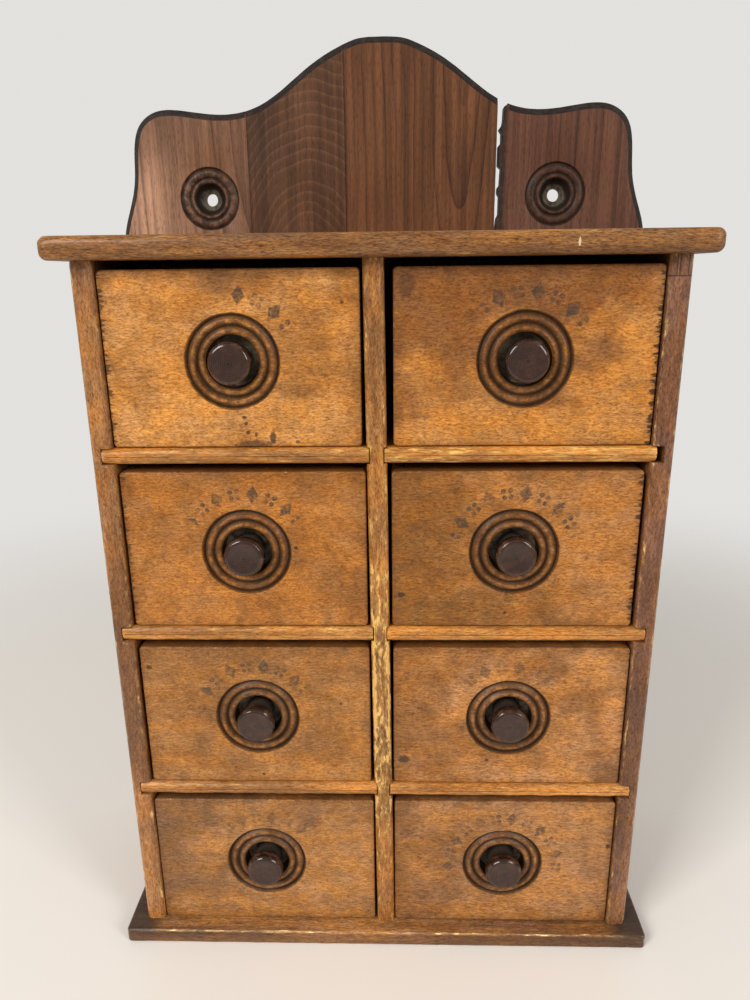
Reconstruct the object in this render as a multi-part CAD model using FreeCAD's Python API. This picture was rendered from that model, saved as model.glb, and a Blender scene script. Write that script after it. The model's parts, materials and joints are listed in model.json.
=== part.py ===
"""Hanging spice cabinet: eight small drawers in two columns under a shaped crest.

Frame: millimetres, +X to the viewer's right, +Y from the front to the wall, +Z up.
The origin is on the standing surface, under the middle of the cabinet's bounding box.
While it is built, y = 0 is the front edge of the sides; each part is shifted on export.
Rows of drawers are numbered 1 to 4 from the top.
"""
import FreeCAD, Part
import math
import os

Vector = FreeCAD.Vector

# ---------------------------------------------------------------- case
case_width = 250.0            # over the outer faces of the two sides
side_depth = 96.0             # front edge of a side to the back boards
side_thickness = 9.4
side_arris_radius = 2.2       # worn round on the front edges
row_count = 4
bay_height = 77.5             # clear height of one drawer bay
shelf_thickness = 7.2
shelf_nose_radius = 2.9       # nearly a half round
divider_thickness = 8.8
divider_foot_offset = 1.1     # x of the divider's middle on the base board
divider_head_offset = -2.0    # and under the top board: it stands a little out of plumb
divider_arris_radius = 2.6
side_dado_depth = 5.2         # housings for the shelves, open at the front
divider_dado_depth = 1.4
dado_head_slack = 0.1         # above the shelf; the shelf lies on the housing's floor
shelf_end_slack = 0.2
short_shelf_gap = 3.0         # the top right shelf was cut short of its housing's end

# ---------------------------------------------------------------- base and top boards
base_thickness = 8.0
top_thickness = 9.3
board_side_overhang = 9.0
top_front_overhang = 8.5
base_front_overhang = 7.2
top_edge_radius = 3.0
top_corner_radius = 4.5
base_edge_radius = 1.2
base_corner_radius = 2.2

# ---------------------------------------------------------------- back boards and crest
back_thickness = 8.0
seam_positions = [-67.0, -18.0, 57.5]     # x of the three upright joints of the four boards
crest_chamfer = 2.4
# Crest outline, right half, heights above the top board's upper face.
# The foot and the shoulder are measured from the side's outer face, plus outwards.
crest_foot_and_shoulder = [
    (board_side_overhang, 0.0), (5.4, 16.0), (1.2, 30.0), (-0.1, 45.0),
    (-4.0, 57.5), (-11.5, 62.9), (-20.0, 64.0), (-35.0, 62.2),
]
# The hump is measured from the middle of the cabinet.
crest_hump = [(77.0, 61.4), (62.0, 64.4), (47.0, 73.3), (30.0, 85.4), (14.0, 92.9), (0.0, 94.4)]
# The right joint has opened: heights above the top board's upper face, and the gap there.
crack_gaps = [(0.0, 0.3), (6.0, 0.8), (11.0, 1.2), (13.0, 2.2), (21.5, 2.2), (23.0, 1.3),
              (25.5, 1.3), (27.0, 2.4), (34.6, 2.6), (36.0, 1.1), (45.0, 1.1), (46.5, 2.5),
              (51.0, 2.4), (52.8, 1.2), (54.8, 2.6), (56.5, 3.0), (62.5, 3.2), (63.5, 5.0),
              (96.0, 5.4)]
crack_foot_gap = 0.1

# ---------------------------------------------------------------- hanging holes
hang_hole_radius = 3.0
hang_hole_inset = 37.3        # from the side's outer face
hang_hole_height = 22.0       # above the top board's upper face
rosette_radius = 15.2
rosette_groove_width = 1.5
rosette_inner_groove_width = 0.9
rosette_groove_depth = 1.2
rosette_bead_widths = [3.2, 1.9]
rosette_bead_drop = 0.2
rosette_pocket_depth = 5.0
rosette_floor_radius = 4.6

# ---------------------------------------------------------------- drawers
front_recess = 1.5            # drawer face behind the front edges of the sides
# Each drawer was fitted by hand. Rows 1 to 4: its gap to the side board, and its gap to the
# divider while that still stood plumb in the middle.
drawer_gaps = {
    "left": [(0.7, 3.1), (1.3, 1.7), (1.4, 1.2), (0.4, 0.2)],
    "right": [(0.7, 1.6), (1.7, 0.7), (0.5, 1.1), (0.4, 1.4)],
}
drawer_foot_gap = 0.3
drawer_head_gap = 3.6
drawer_rear_gap = 1.5
front_thickness = 14.5
front_arris_radius = 0.9
drawer_side_thickness = 5.5
drawer_back_thickness = 5.5
drawer_bottom_thickness = 4.0
drawer_bottom_height = 3.0    # underside of the bottom board above the drawer's lower edge
groove_depth = 2.5            # holds the bottom board in the front and the sides
bottom_end_slack = 0.15
front_rabbet_depth = 7.0      # the sides are lapped this far into the front
side_drop = 1.0               # the sides and back stop this far below the front's top

# ---------------------------------------------------------------- turned ring and knob
ring_radius = 20.2
ring_groove_width = 2.0
ring_inner_groove_width = 1.4
ring_groove_depth = 1.8
ring_bead_widths = [2.7, 2.8]
ring_bead_drop = 0.2
pocket_depth = 8.5
pocket_floor_radius = 10.6
ring_drop = 0.6               # the ring's centre below the middle of the front
knob_radius = 9.0
knob_height = 16.5            # from the pocket's floor to the face of the knob
knob_head_thickness = 5.8
knob_rim_radius = 2.0
knob_foot_radius = 6.8
knob_waist_radius = 6.1
knob_foot_height = 2.0
knob_face_dish = 0.5          # the face is turned slightly hollow inside its rim
knob_dish_share = 0.75        # of that depth, half-way out to the rim
knob_tenon_radius = 3.0
knob_tenon_length = 5.0
tenon_clearance = 0.05

# ---------------------------------------------------------------- nails
nail_shank_radius = 0.8
nail_head_radius = 1.7
nail_head_thickness = 0.9
nail_length = 24.0
nail_clearance = 0.05
nail_front_setback = 18.0     # from the front edge of the sides
nail_rear_setback = 20.0      # from the back boards

# ---------------------------------------------------------------- modelling
reach = 1.0                   # cutters pass this far beyond what they cut
tiny = 1e-6                   # lengths closer than this are taken as equal

# ---------------------------------------------------------------- derived places
half_case = case_width / 2
half_board = half_case + board_side_overhang
inner_half = half_case - side_thickness
half_divider = divider_thickness / 2
column_width = inner_half - half_divider

row_pitch = bay_height + shelf_thickness
case_height = row_count * bay_height + (row_count - 1) * shelf_thickness
top_board_bottom = base_thickness + case_height
top_board_top = top_board_bottom + top_thickness
back_front = side_depth
back_rear = side_depth + back_thickness

drawer_height = bay_height - drawer_foot_gap - drawer_head_gap
drawer_length = side_depth - front_recess - drawer_rear_gap
bottom_top = drawer_bottom_height + drawer_bottom_thickness
knob_centre_height = drawer_height / 2 - ring_drop
knob_proud = knob_height - pocket_depth
frontmost = min(-top_front_overhang, -base_front_overhang, front_recess - knob_proud)
y_shift = -(frontmost + back_rear) / 2

parts = {}


# ---------------------------------------------------------------- helpers
def block(x_range, y_range, z_range):
    """Box between the given limits."""
    low = Vector(x_range[0], y_range[0], z_range[0])
    size = [limits[1] - limits[0] for limits in (x_range, y_range, z_range)]
    return Part.makeBox(*size, low)


def rounded(shape, radius, wanted):
    """Fillet the edges for which wanted(edge's bounding box) is true."""
    edges = [edge for edge in shape.Edges if wanted(edge.BoundBox)]
    return shape.makeFillet(radius, edges)


def flat(low, high, value):
    """True where a box's limits both lie at one value."""
    return abs(low - value) < tiny and abs(high - value) < tiny


def turned(profile_edges, x, y, z):
    """Solid of revolution about the Y direction from edges drawn at (radius, y)."""
    wire = Part.Wire(profile_edges)
    solid = Part.Face(wire).revolve(Vector(0, 0, 0), Vector(0, 1, 0), 360)
    solid.translate(Vector(x, y, z))
    return solid


def line(start, end):
    """Straight profile edge between (radius, y) points."""
    return Part.LineSegment(Vector(*start, 0), Vector(*end, 0)).toShape()


def arc(start, middle, end):
    """Circular profile edge through three (radius, y) points."""
    return Part.Arc(Vector(*start, 0), Vector(*middle, 0), Vector(*end, 0)).toShape()


def recess(radius, grooves, groove_depth, beads, bead_drop, depth, floor_radius):
    """Outline of a turned recess: V grooves and half-round beads by turns, then a pocket.

    grooves and beads are widths from the outside inwards. The face that it is cut into
    lies at y = 0, and the recess goes towards +Y.
    """
    edges = []
    start = (radius, 0.0)
    for groove, bead in zip(grooves, beads):
        valley = (start[0] - groove / 2, groove_depth)
        bead_start = (start[0] - groove, groove_depth / 2)
        bead_end = (bead_start[0] - bead, groove_depth / 2)
        edges.append(line(start, valley))
        edges.append(line(valley, bead_start))
        edges.append(arc(bead_start, (bead_start[0] - bead / 2, bead_drop), bead_end))
        start = bead_end
    edges.append(line(start, (floor_radius, depth)))
    edges.append(line((floor_radius, depth), (0.0, depth)))
    edges.append(line((0.0, depth), (0.0, 0.0)))
    edges.append(line((0.0, 0.0), (radius, 0.0)))
    return edges


def put(name, shape):
    """Name a finished part and refuse one that is not made of sound solids."""
    if not shape.isValid() or not shape.Solids:
        raise ValueError(name + " is not a sound solid")
    parts[name] = shape


def bay_floor(row):
    """Height of the surface that the drawers of a row stand on."""
    return base_thickness + (row_count - row) * row_pitch


def divider_middle(z):
    """x of the divider's middle at a height."""
    share = (z - base_thickness) / case_height
    return divider_foot_offset + (divider_head_offset - divider_foot_offset) * share


# ---------------------------------------------------------------- nails
def nail(head, direction, grow=0.0):
    """Wire nail with a flat head; head is the middle of the head's outer face."""
    axis = Vector(*direction)
    place = Vector(*head)
    shank = Part.makeCylinder(nail_shank_radius + grow, nail_length, place, axis)
    cap = Part.makeCylinder(nail_head_radius + grow, nail_head_thickness, place, axis)
    return shank.fuse(cap).removeSplitter()


nail_ys = [nail_front_setback, side_depth - nail_rear_setback]
side_middle = half_case - side_thickness / 2
stave_limits = [-half_case] + seam_positions + [half_case]


def nail_places():
    """Head place and direction of every nail, by group."""
    groups = {"top_nails": [], "base_nails": [], "back_nails": []}
    for y in nail_ys:
        for x in (-side_middle, divider_head_offset, side_middle):
            groups["top_nails"].append(((x, y, top_board_top), (0, 0, -1)))
        for x in (-side_middle, divider_foot_offset, side_middle):
            groups["base_nails"].append(((x, y, 0.0), (0, 0, 1)))
    for row in range(1, row_count + 1):
        side_z = bay_floor(row) + bay_height / 2
        for x in (-side_middle, side_middle):
            groups["back_nails"].append(((x, back_rear, side_z), (0, -1, 0)))
        rail_z = top_board_bottom + top_thickness / 2
        if row > 1:
            rail_z = bay_floor(row - 1) - shelf_thickness / 2
        for left, right in (stave_limits[1:3], stave_limits[2:4]):
            middle = (left + right) / 2
            groups["back_nails"].append(((middle, back_rear, rail_z), (0, -1, 0)))
    return groups


nails = nail_places()
nail_holes = []
for places in nails.values():
    nail_holes += [nail(head, direction, nail_clearance) for head, direction in places]


def drilled(shape):
    """Cut the nail holes out of a board."""
    near = [hole for hole in nail_holes if hole.BoundBox.intersect(shape.BoundBox)]
    return shape.cut(near) if near else shape


# ---------------------------------------------------------------- case boards
def housing(x_range, row):
    """Cutter for the housing of the shelf under a row, open at the front."""
    top = bay_floor(row)
    return block(x_range, (0, side_depth), (top - shelf_thickness, top + dado_head_slack))


def make_side(hand):
    """Side board with its front edges worn round and three shelf housings."""
    sign = -1 if hand == "left" else 1
    x_range = sorted((sign * inner_half, sign * half_case))
    board = block(x_range, (0, side_depth), (base_thickness, top_board_bottom))
    front = lambda box: flat(box.YMin, box.YMax, 0) and box.ZLength > case_height / 2
    board = rounded(board, side_arris_radius, front)
    cut_range = sorted((sign * inner_half, sign * (inner_half + side_dado_depth)))
    for row in range(1, row_count):
        board = board.cut(housing(cut_range, row))
    return drilled(board)


def divider_floors(row):
    """x of the floors of the divider's left and right housings for a shelf."""
    middle = divider_middle(bay_floor(row) - shelf_thickness / 2)
    depth = half_divider - divider_dado_depth
    return middle - depth, middle + depth


def make_divider():
    """Upright between the two columns, slightly leaning, with shallow housings on both faces."""
    foot = [(divider_foot_offset + side, base_thickness) for side in (-half_divider, half_divider)]
    head = [(divider_head_offset + side, top_board_bottom) for side in (half_divider, -half_divider)]
    corners = [Vector(x, 0, z) for x, z in foot + head]
    section = Part.Face(Part.makePolygon(corners + corners[:1]))
    board = section.extrude(Vector(0, side_depth, 0))
    front = lambda box: flat(box.YMin, box.YMax, 0) and box.ZLength > case_height / 2
    board = rounded(board, divider_arris_radius, front)
    for row in range(1, row_count):
        left_floor, right_floor = divider_floors(row)
        board = board.cut(housing((left_floor - divider_thickness, left_floor), row))
        board = board.cut(housing((right_floor, right_floor + divider_thickness), row))
    return drilled(board)


def make_shelf(hand, row):
    """Shelf with a rounded nose, lying in the housings of a side and the divider."""
    outer_slack = short_shelf_gap if (hand, row) == ("right", 1) else shelf_end_slack
    outer = inner_half + side_dado_depth - outer_slack
    left_floor, right_floor = divider_floors(row)
    if hand == "left":
        x_range = (-outer, left_floor - shelf_end_slack)
    else:
        x_range = (right_floor + shelf_end_slack, outer)
    top = bay_floor(row)
    board = block(x_range, (0, side_depth), (top - shelf_thickness, top))
    nose = lambda box: flat(box.YMin, box.YMax, 0) and box.XLength > case_width / 4
    return drilled(rounded(board, shelf_nose_radius, nose))


def make_board(y_range, z_range, corner_radius, edge_radius):
    """Top or base board: overhangs the case, with rounded corners, front and ends."""
    y_front, y_rear = y_range
    board = block((-half_board, half_board), y_range, z_range)
    corner = lambda box: flat(box.YMin, box.YMax, y_front) and box.XLength < tiny
    board = rounded(board, corner_radius, corner)
    outline = lambda box: box.ZLength < tiny and not flat(box.YMin, box.YMax, y_rear)
    return drilled(rounded(board, edge_radius, outline))


for hand in ("left", "right"):
    put(hand + "_side", make_side(hand))
put("centre_divider", make_divider())
base_board = make_board((-base_front_overhang, back_rear), (0, base_thickness),
                        base_corner_radius, base_edge_radius)
top_board = make_board((-top_front_overhang, side_depth), (top_board_bottom, top_board_top),
                       top_corner_radius, top_edge_radius)
put("base_board", base_board)
put("top_board", top_board)
for row in range(1, row_count):
    for hand in ("left", "right"):
        put("shelf_%s_%d" % (hand, row), make_shelf(hand, row))


# ---------------------------------------------------------------- back boards with the crest
def crest_points():
    """Right half of the crest's outline, from its foot to the top of the hump."""
    points = [(half_case + out, top_board_top + up) for out, up in crest_foot_and_shoulder]
    return points + [(x, top_board_top + up) for x, up in crest_hump]


def crest_curve(sign):
    """Smooth curve through one half of the outline."""
    points = [Vector(sign * x, back_front, z) for x, z in crest_points()]
    curve = Part.BSplineCurve()
    curve.interpolate(points, InitialTangent=Vector(0, 0, 1), FinalTangent=Vector(-sign, 0, 0))
    return curve.toShape()


def back_line(start, end):
    """Straight edge of the back's outline between (x, z) points."""
    ends = [Vector(x, back_front, z) for x, z in (start, end)]
    return Part.LineSegment(*ends).toShape()


def make_back():
    """The whole back in one piece: narrow behind the case, shaped above the top board."""
    edges = [crest_curve(1), crest_curve(-1)]
    edges.append(back_line((-half_case, base_thickness), (half_case, base_thickness)))
    for sign in (-1, 1):
        low = (sign * half_case, base_thickness)
        shoulder = (sign * half_case, top_board_bottom)
        ear = (sign * half_board, top_board_bottom)
        edges.append(back_line(low, shoulder))
        edges.append(back_line(shoulder, ear))
        edges.append(back_line(ear, (sign * half_board, top_board_top)))
    outline = Part.Wire(Part.sortEdges(edges)[0])
    back = Part.Face(outline).extrude(Vector(0, back_thickness, 0))
    on_front = lambda box: flat(box.YMin, box.YMax, back_front)
    above = [edge for edge in back.Edges if edge.BoundBox.ZMax > top_board_top + tiny]
    crest = [edge for edge in above if on_front(edge.BoundBox)]
    return back.makeChamfer(crest_chamfer, crest)


def rosette(sign):
    """Cutter for a turned rosette with a hanging hole through its middle."""
    x = sign * (half_case - hang_hole_inset)
    z = top_board_top + hang_hole_height
    grooves = (rosette_groove_width, rosette_inner_groove_width)
    profile = recess(rosette_radius, grooves, rosette_groove_depth, rosette_bead_widths,
                     rosette_bead_drop, rosette_pocket_depth, rosette_floor_radius)
    hole = Part.makeCylinder(hang_hole_radius, back_thickness, Vector(x, back_front, z), Vector(0, 1, 0))
    return turned(profile, x, back_front, z).fuse(hole)


def crack():
    """Cutter for the opened joint: its left wall is straight and its right wall wanders."""
    seam = seam_positions[-1]
    left = [(seam, base_thickness - reach), (seam, top_board_top + crack_gaps[-1][0])]
    right = [(seam + gap, top_board_top + up) for up, gap in reversed(crack_gaps)]
    right.append((seam + crack_foot_gap, base_thickness - reach))
    points = [Vector(x, back_front - reach, z) for x, z in left + right]
    face = Part.Face(Part.makePolygon(points + points[:1]))
    return face.extrude(Vector(0, back_thickness + 2 * reach, 0))


def make_staves():
    """Split the back at its joints into the four boards it is glued up from."""
    back = drilled(make_back()).cut([rosette(-1), rosette(1), crack()])
    limits = [-half_board - reach] + seam_positions + [half_board + reach]
    y_range = (back_front - reach, back_rear + reach)
    z_range = (0, top_board_top + crest_hump[-1][1] + reach)
    for index in range(len(limits) - 1):
        slab = block(limits[index:index + 2], y_range, z_range)
        put("back_stave_%d" % (index + 1), back.common(slab))


make_staves()
for group, places in nails.items():
    solids = [nail(head, direction) for head, direction in places]
    put(group, Part.makeCompound(solids))


# ---------------------------------------------------------------- one drawer
# A drawer is drawn with the middle of its face's lower edge at zero.
def make_front(width):
    """Drawer front: turned ring and pocket, rabbets for the sides, groove for the bottom."""
    half = width / 2
    inner = half - drawer_side_thickness
    board = block((-half, half), (0, front_thickness), (0, drawer_height))
    board = rounded(board, front_arris_radius, lambda box: flat(box.YMin, box.YMax, 0))
    lap_range = (front_thickness - front_rabbet_depth, front_thickness)
    for x_range in ((-half, -inner), (inner, half)):
        board = board.cut(block(x_range, lap_range, (0, drawer_height)))
    y_range = (front_thickness - groove_depth, front_thickness)
    board = board.cut(block((-inner, inner), y_range, (drawer_bottom_height, bottom_top)))
    grooves = (ring_groove_width, ring_inner_groove_width)
    profile = recess(ring_radius, grooves, ring_groove_depth, ring_bead_widths,
                     ring_bead_drop, pocket_depth, pocket_floor_radius)
    board = board.cut(turned(profile, 0, 0, knob_centre_height))
    centre = Vector(0, 0, knob_centre_height)
    hole_radius = knob_tenon_radius + tenon_clearance
    return board.cut(Part.makeCylinder(hole_radius, front_thickness, centre, Vector(0, 1, 0)))


def make_drawer_sides(width):
    """The two sides, lapped into the front and grooved for the bottom."""
    half = width / 2
    inner = half - drawer_side_thickness
    y_range = (front_thickness - front_rabbet_depth, drawer_length)
    groove_y_range = (front_thickness, drawer_length)
    sides = []
    for sign in (-1, 1):
        x_range = sorted((sign * inner, sign * half))
        board = block(x_range, y_range, (0, drawer_height - side_drop))
        groove_x_range = sorted((sign * inner, sign * (inner + groove_depth)))
        groove = block(groove_x_range, groove_y_range, (drawer_bottom_height, bottom_top))
        sides.append(board.cut(groove))
    return Part.makeCompound(sides)


def make_drawer_back(width):
    """Back, between the sides and standing on the bottom board."""
    inner = width / 2 - drawer_side_thickness
    y_range = (drawer_length - drawer_back_thickness, drawer_length)
    return block((-inner, inner), y_range, (bottom_top, drawer_height - side_drop))


def make_drawer_bottom(width):
    """Bottom board, held in the grooves and run under the back."""
    inner = width / 2 - drawer_side_thickness
    wide = inner + groove_depth - bottom_end_slack
    z_range = (drawer_bottom_height, bottom_top)
    board = block((-wide, wide), (front_thickness, drawer_length), z_range)
    tongue_front = front_thickness - groove_depth + bottom_end_slack
    tongue = block((-inner, inner), (tongue_front, front_thickness), z_range)
    return board.fuse(tongue).removeSplitter()


def make_knob():
    """Turned knob on its tenon; it stands on the pocket's floor and faces -Y."""
    floor = pocket_depth
    face = floor - knob_height
    under_head = face + knob_head_thickness
    rim = knob_radius - knob_rim_radius
    rim_front = (rim, face)
    rim_side = (knob_radius, face + knob_rim_radius)
    bulge = knob_rim_radius * (1 - math.cos(math.pi / 4))
    half_way = (rim / 2, face + knob_face_dish * knob_dish_share)
    neck_top = (knob_foot_radius, under_head + knob_rim_radius / 2)
    waist = (knob_waist_radius, (under_head + floor) / 2)
    foot_top = (knob_foot_radius, floor - knob_foot_height)
    edges = [
        arc((0.0, face + knob_face_dish), half_way, rim_front),
        arc(rim_front, (knob_radius - bulge, face + bulge), rim_side),
        line(rim_side, (knob_radius, under_head - knob_rim_radius / 2)),
        line((knob_radius, under_head - knob_rim_radius / 2), neck_top),
        arc(neck_top, waist, foot_top),
        line(foot_top, (knob_foot_radius, floor)),
        line((knob_foot_radius, floor), (knob_tenon_radius, floor)),
        line((knob_tenon_radius, floor), (knob_tenon_radius, floor + knob_tenon_length)),
        line((knob_tenon_radius, floor + knob_tenon_length), (0.0, floor + knob_tenon_length)),
        line((0.0, floor + knob_tenon_length), (0.0, face + knob_face_dish)),
    ]
    return turned(edges, 0, 0, knob_centre_height)


for hand, gaps in drawer_gaps.items():
    for row, (side_gap, divider_gap) in enumerate(gaps, start=1):
        width = column_width - side_gap - divider_gap
        middle = inner_half - side_gap - width / 2
        x = -middle if hand == "left" else middle
        place = Vector(x, front_recess, bay_floor(row) + drawer_foot_gap)
        pieces = {
            "front": make_front(width),
            "sides": make_drawer_sides(width),
            "back": make_drawer_back(width),
            "bottom": make_drawer_bottom(width),
            "knob": make_knob(),
        }
        for piece, shape in pieces.items():
            shape.translate(place)
            put("drawer_%s_%d_%s" % (hand, row, piece), shape)
        print("drawer", hand, row, "x", round(x, 3), "width", round(width, 3), "z", round(place.z, 3))

# ---------------------------------------------------------------- export
os.makedirs("parts", exist_ok=True)
for name, shape in parts.items():
    shape.translate(Vector(0, y_shift, 0))
    shape.exportStep("parts/%s.step" % name)

print("parts", len(parts), "y_shift", round(y_shift, 3), "drawer height", round(drawer_height, 3))
print("overall", half_board * 2, back_rear - frontmost, top_board_top + crest_hump[-1][1])
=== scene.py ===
# %% [markdown]
# # A hanging spice cabinet
# Eight little drawers stand in two columns in a case of thin boards. A shaped crest of four
# dark boards rises behind it, with two turned holes to hang it by. Everything here is wood
# that has been handled for a century, so the lesson is about two things: building boards and
# turned pieces as closed meshes, and giving each kind of wood its own grain, dirt and wear.
#
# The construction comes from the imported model, which is loaded as a fixed frame. Every
# piece made here stands in for one of its nodes, in the same place and of the same size.

# %% Load the frame
import functools
import json
import math

import bmesh
import bpy
import numpy as np
from mathutils import Matrix, Vector

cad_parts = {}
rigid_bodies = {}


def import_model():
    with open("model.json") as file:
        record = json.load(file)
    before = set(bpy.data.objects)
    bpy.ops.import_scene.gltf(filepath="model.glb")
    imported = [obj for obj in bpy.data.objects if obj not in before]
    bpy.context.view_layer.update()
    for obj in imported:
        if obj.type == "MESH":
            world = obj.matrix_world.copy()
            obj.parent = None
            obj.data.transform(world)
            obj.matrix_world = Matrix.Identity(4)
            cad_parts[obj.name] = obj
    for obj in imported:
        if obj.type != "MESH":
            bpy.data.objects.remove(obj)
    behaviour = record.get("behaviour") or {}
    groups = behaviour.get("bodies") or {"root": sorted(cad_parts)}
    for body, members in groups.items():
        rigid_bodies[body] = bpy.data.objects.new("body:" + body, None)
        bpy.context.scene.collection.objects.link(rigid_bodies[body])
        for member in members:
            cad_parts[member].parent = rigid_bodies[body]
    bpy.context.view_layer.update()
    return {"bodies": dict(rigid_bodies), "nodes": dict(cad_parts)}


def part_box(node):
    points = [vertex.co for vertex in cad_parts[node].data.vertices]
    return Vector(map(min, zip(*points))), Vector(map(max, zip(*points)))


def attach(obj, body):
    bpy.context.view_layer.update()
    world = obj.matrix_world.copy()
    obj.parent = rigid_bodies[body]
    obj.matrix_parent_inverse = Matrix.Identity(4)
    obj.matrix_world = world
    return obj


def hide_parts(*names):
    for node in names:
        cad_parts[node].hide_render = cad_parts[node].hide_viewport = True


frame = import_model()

mm = 0.001
rows = (1, 2, 3, 4)
hands = ("left", "right")
print("bodies", len(frame["bodies"]), "nodes", len(frame["nodes"]))

# %% [markdown]
# ## Small tools for node trees
# Both the materials and the geometry trees are made of nodes. Wiring them by hand takes three
# lines a node, so a node's output is wrapped as a wire that understands arithmetic: adding two
# wires adds the node that adds them. A wire knows its tree and splits itself into x, y and z.
# The functions are the few node kinds used all the time: a smooth step between two values,
# noise of a given size, a colour mix. The last one, group, stands above a function and makes
# a node group of it: the inputs come in as wires, and the wires it returns are the outputs.

# %% Wires
class Wire:
    """One output of a node. Arithmetic on wires adds the nodes that do it."""

    def __init__(self, socket):
        self.socket = socket
        self.tree = socket.id_data
        self.split = None

    def axis(self, name):
        """One axis of a vector; all three share a node."""
        if self.split is None:
            self.split = add(self.tree, "ShaderNodeSeparateXYZ", {0: self})
        return self.split[name]

    def __abs__(self):
        return maths("ABSOLUTE", self)

    x = property(lambda self: self.axis("X"))
    y = property(lambda self: self.axis("Y"))
    z = property(lambda self: self.axis("Z"))


class Outputs:
    """A node's outputs as wires, by name or by number."""

    def __init__(self, node):
        self.node = node

    def __getitem__(self, key):
        return Wire(self.node.outputs[key])


def tree_of(values):
    """The tree of the first wire among some values."""
    return next(value.tree for value in values if isinstance(value, Wire))


def maths(operation, *values):
    """Arithmetic on wires and plain values: vector arithmetic if any of them is a vector."""
    kinds = [value.socket.type if isinstance(value, Wire) else type(value) for value in values]
    vectors = any(kind in ("VECTOR", tuple, Vector) for kind in kinds)
    node = "ShaderNodeVectorMath" if vectors else "ShaderNodeMath"
    made = add(tree_of(values), node, dict(enumerate(values)), operation=operation)
    return made["Value"] if operation in ("LENGTH", "DOT_PRODUCT") else made[0]


signs = {"add": "ADD", "sub": "SUBTRACT", "mul": "MULTIPLY", "truediv": "DIVIDE", "pow": "POWER"}
for sign, operation in signs.items():
    setattr(Wire, f"__{sign}__", lambda one, other, kind=operation: maths(kind, one, other))
    setattr(Wire, f"__r{sign}__", lambda one, other, kind=operation: maths(kind, other, one))
print("signs that wires understand", len(signs))

# %% Node helpers
def connect(wire, socket):
    """Link a wire to a node's input."""
    wire.tree.links.new(wire.socket, socket)


def add(tree, kind, wires=None, **options):
    """Add a node; wires maps its sockets to plain values or to wires."""
    made = tree.nodes.new(kind)
    for name, value in options.items():
        setattr(made, name, value)
    for key, value in (wires or {}).items():
        if isinstance(value, Wire):
            connect(value, made.inputs[key])
        else:
            made.inputs[key].default_value = value
    return Outputs(made)


def step(value, low, high, start=0.0, end=1.0):
    """Go smoothly from start to end while the value goes from low to high."""
    wires = {0: value, 1: low, 2: high, 3: start, 4: end}
    return add(value.tree, "ShaderNodeMapRange", wires, interpolation_type="SMOOTHSTEP")[0]


def noise(vector, size, seed, detail=2.0, roughness=0.5):
    """Noise from 0 to 1 whose lumps are about as large as the given size in metres."""
    wires = {"Vector": vector, "Scale": 1 / size, "W": seed, "Detail": detail, "Roughness": roughness}
    return add(vector.tree, "ShaderNodeTexNoise", wires, noise_dimensions="4D")["Fac"]


def mix(amount, first, second, kind="MIX"):
    """Mix two colours."""
    tree = tree_of((amount, first, second))
    wires = {0: amount, 6: first, 7: second}
    return add(tree, "ShaderNodeMix", wires, data_type="RGBA", blend_type=kind)[2]


def tinted(colour, tint):
    """A colour multiplied by another."""
    return mix(1.0, colour, tint, "MULTIPLY")


def grey(level):
    """A colour with the same level in all three channels."""
    return rgb(level, level, level)


def rgb(red, green, blue):
    """A colour from three wires."""
    return add(red.tree, "ShaderNodeCombineColor", {0: red, 1: green, 2: blue})[0]


def point(x=0.0, y=0.0, z=0.0):
    """A vector from three numbers, some of which are wires."""
    return add(tree_of((x, y, z)), "ShaderNodeCombineXYZ", {0: x, 1: y, 2: z})[0]


socket_kinds = {float: "Float", int: "Int", 3: "Vector", 4: "Color"}


def group(name, inputs, outputs, kind="ShaderNodeTree"):
    """Make a node group of a function; an input is a starting value, or a type without one."""
    tree = bpy.data.node_groups.new(name, kind)
    for label, value in inputs.items():
        size = len(value) if isinstance(value, tuple) else type(value)
        socket = "NodeSocket" + (value if size is str else socket_kinds[size])
        made = tree.interface.new_socket(label, in_out="INPUT", socket_type=socket)
        if size is not str:
            made.default_value = value
    for label, socket in outputs.items():
        tree.interface.new_socket(label, in_out="OUTPUT", socket_type="NodeSocket" + socket)
    given = Outputs(tree.nodes.new("NodeGroupInput"))
    results = tree.nodes.new("NodeGroupOutput").inputs

    def build(inside):
        for label, wire in inside(tree, given).items():
            connect(wire, results[label])
        return tree

    return build


def use_group(tree, wires):
    """Place a shader group among its wires and return its outputs."""
    return add(tree_of(wires.values()), "ShaderNodeGroup", wires, node_tree=tree)

# %% [markdown]
# ## Grain of the case and the drawers
# The fronts and the case boards are maple under an old honey-coloured varnish. Close up the
# grain is a mass of short dark flecks that wave a little, and over it the varnish has gone
# browner in clouds. It could be painted as an image, but a procedural grain has no seams
# and follows each board into its thickness. Three noises do most of it: a large soft one for
# the clouds, a long thin one for the grain, and a finer one cut off high for the flecks. The
# grain runs along X; a board whose grain runs upright turns its coordinates first.

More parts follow.
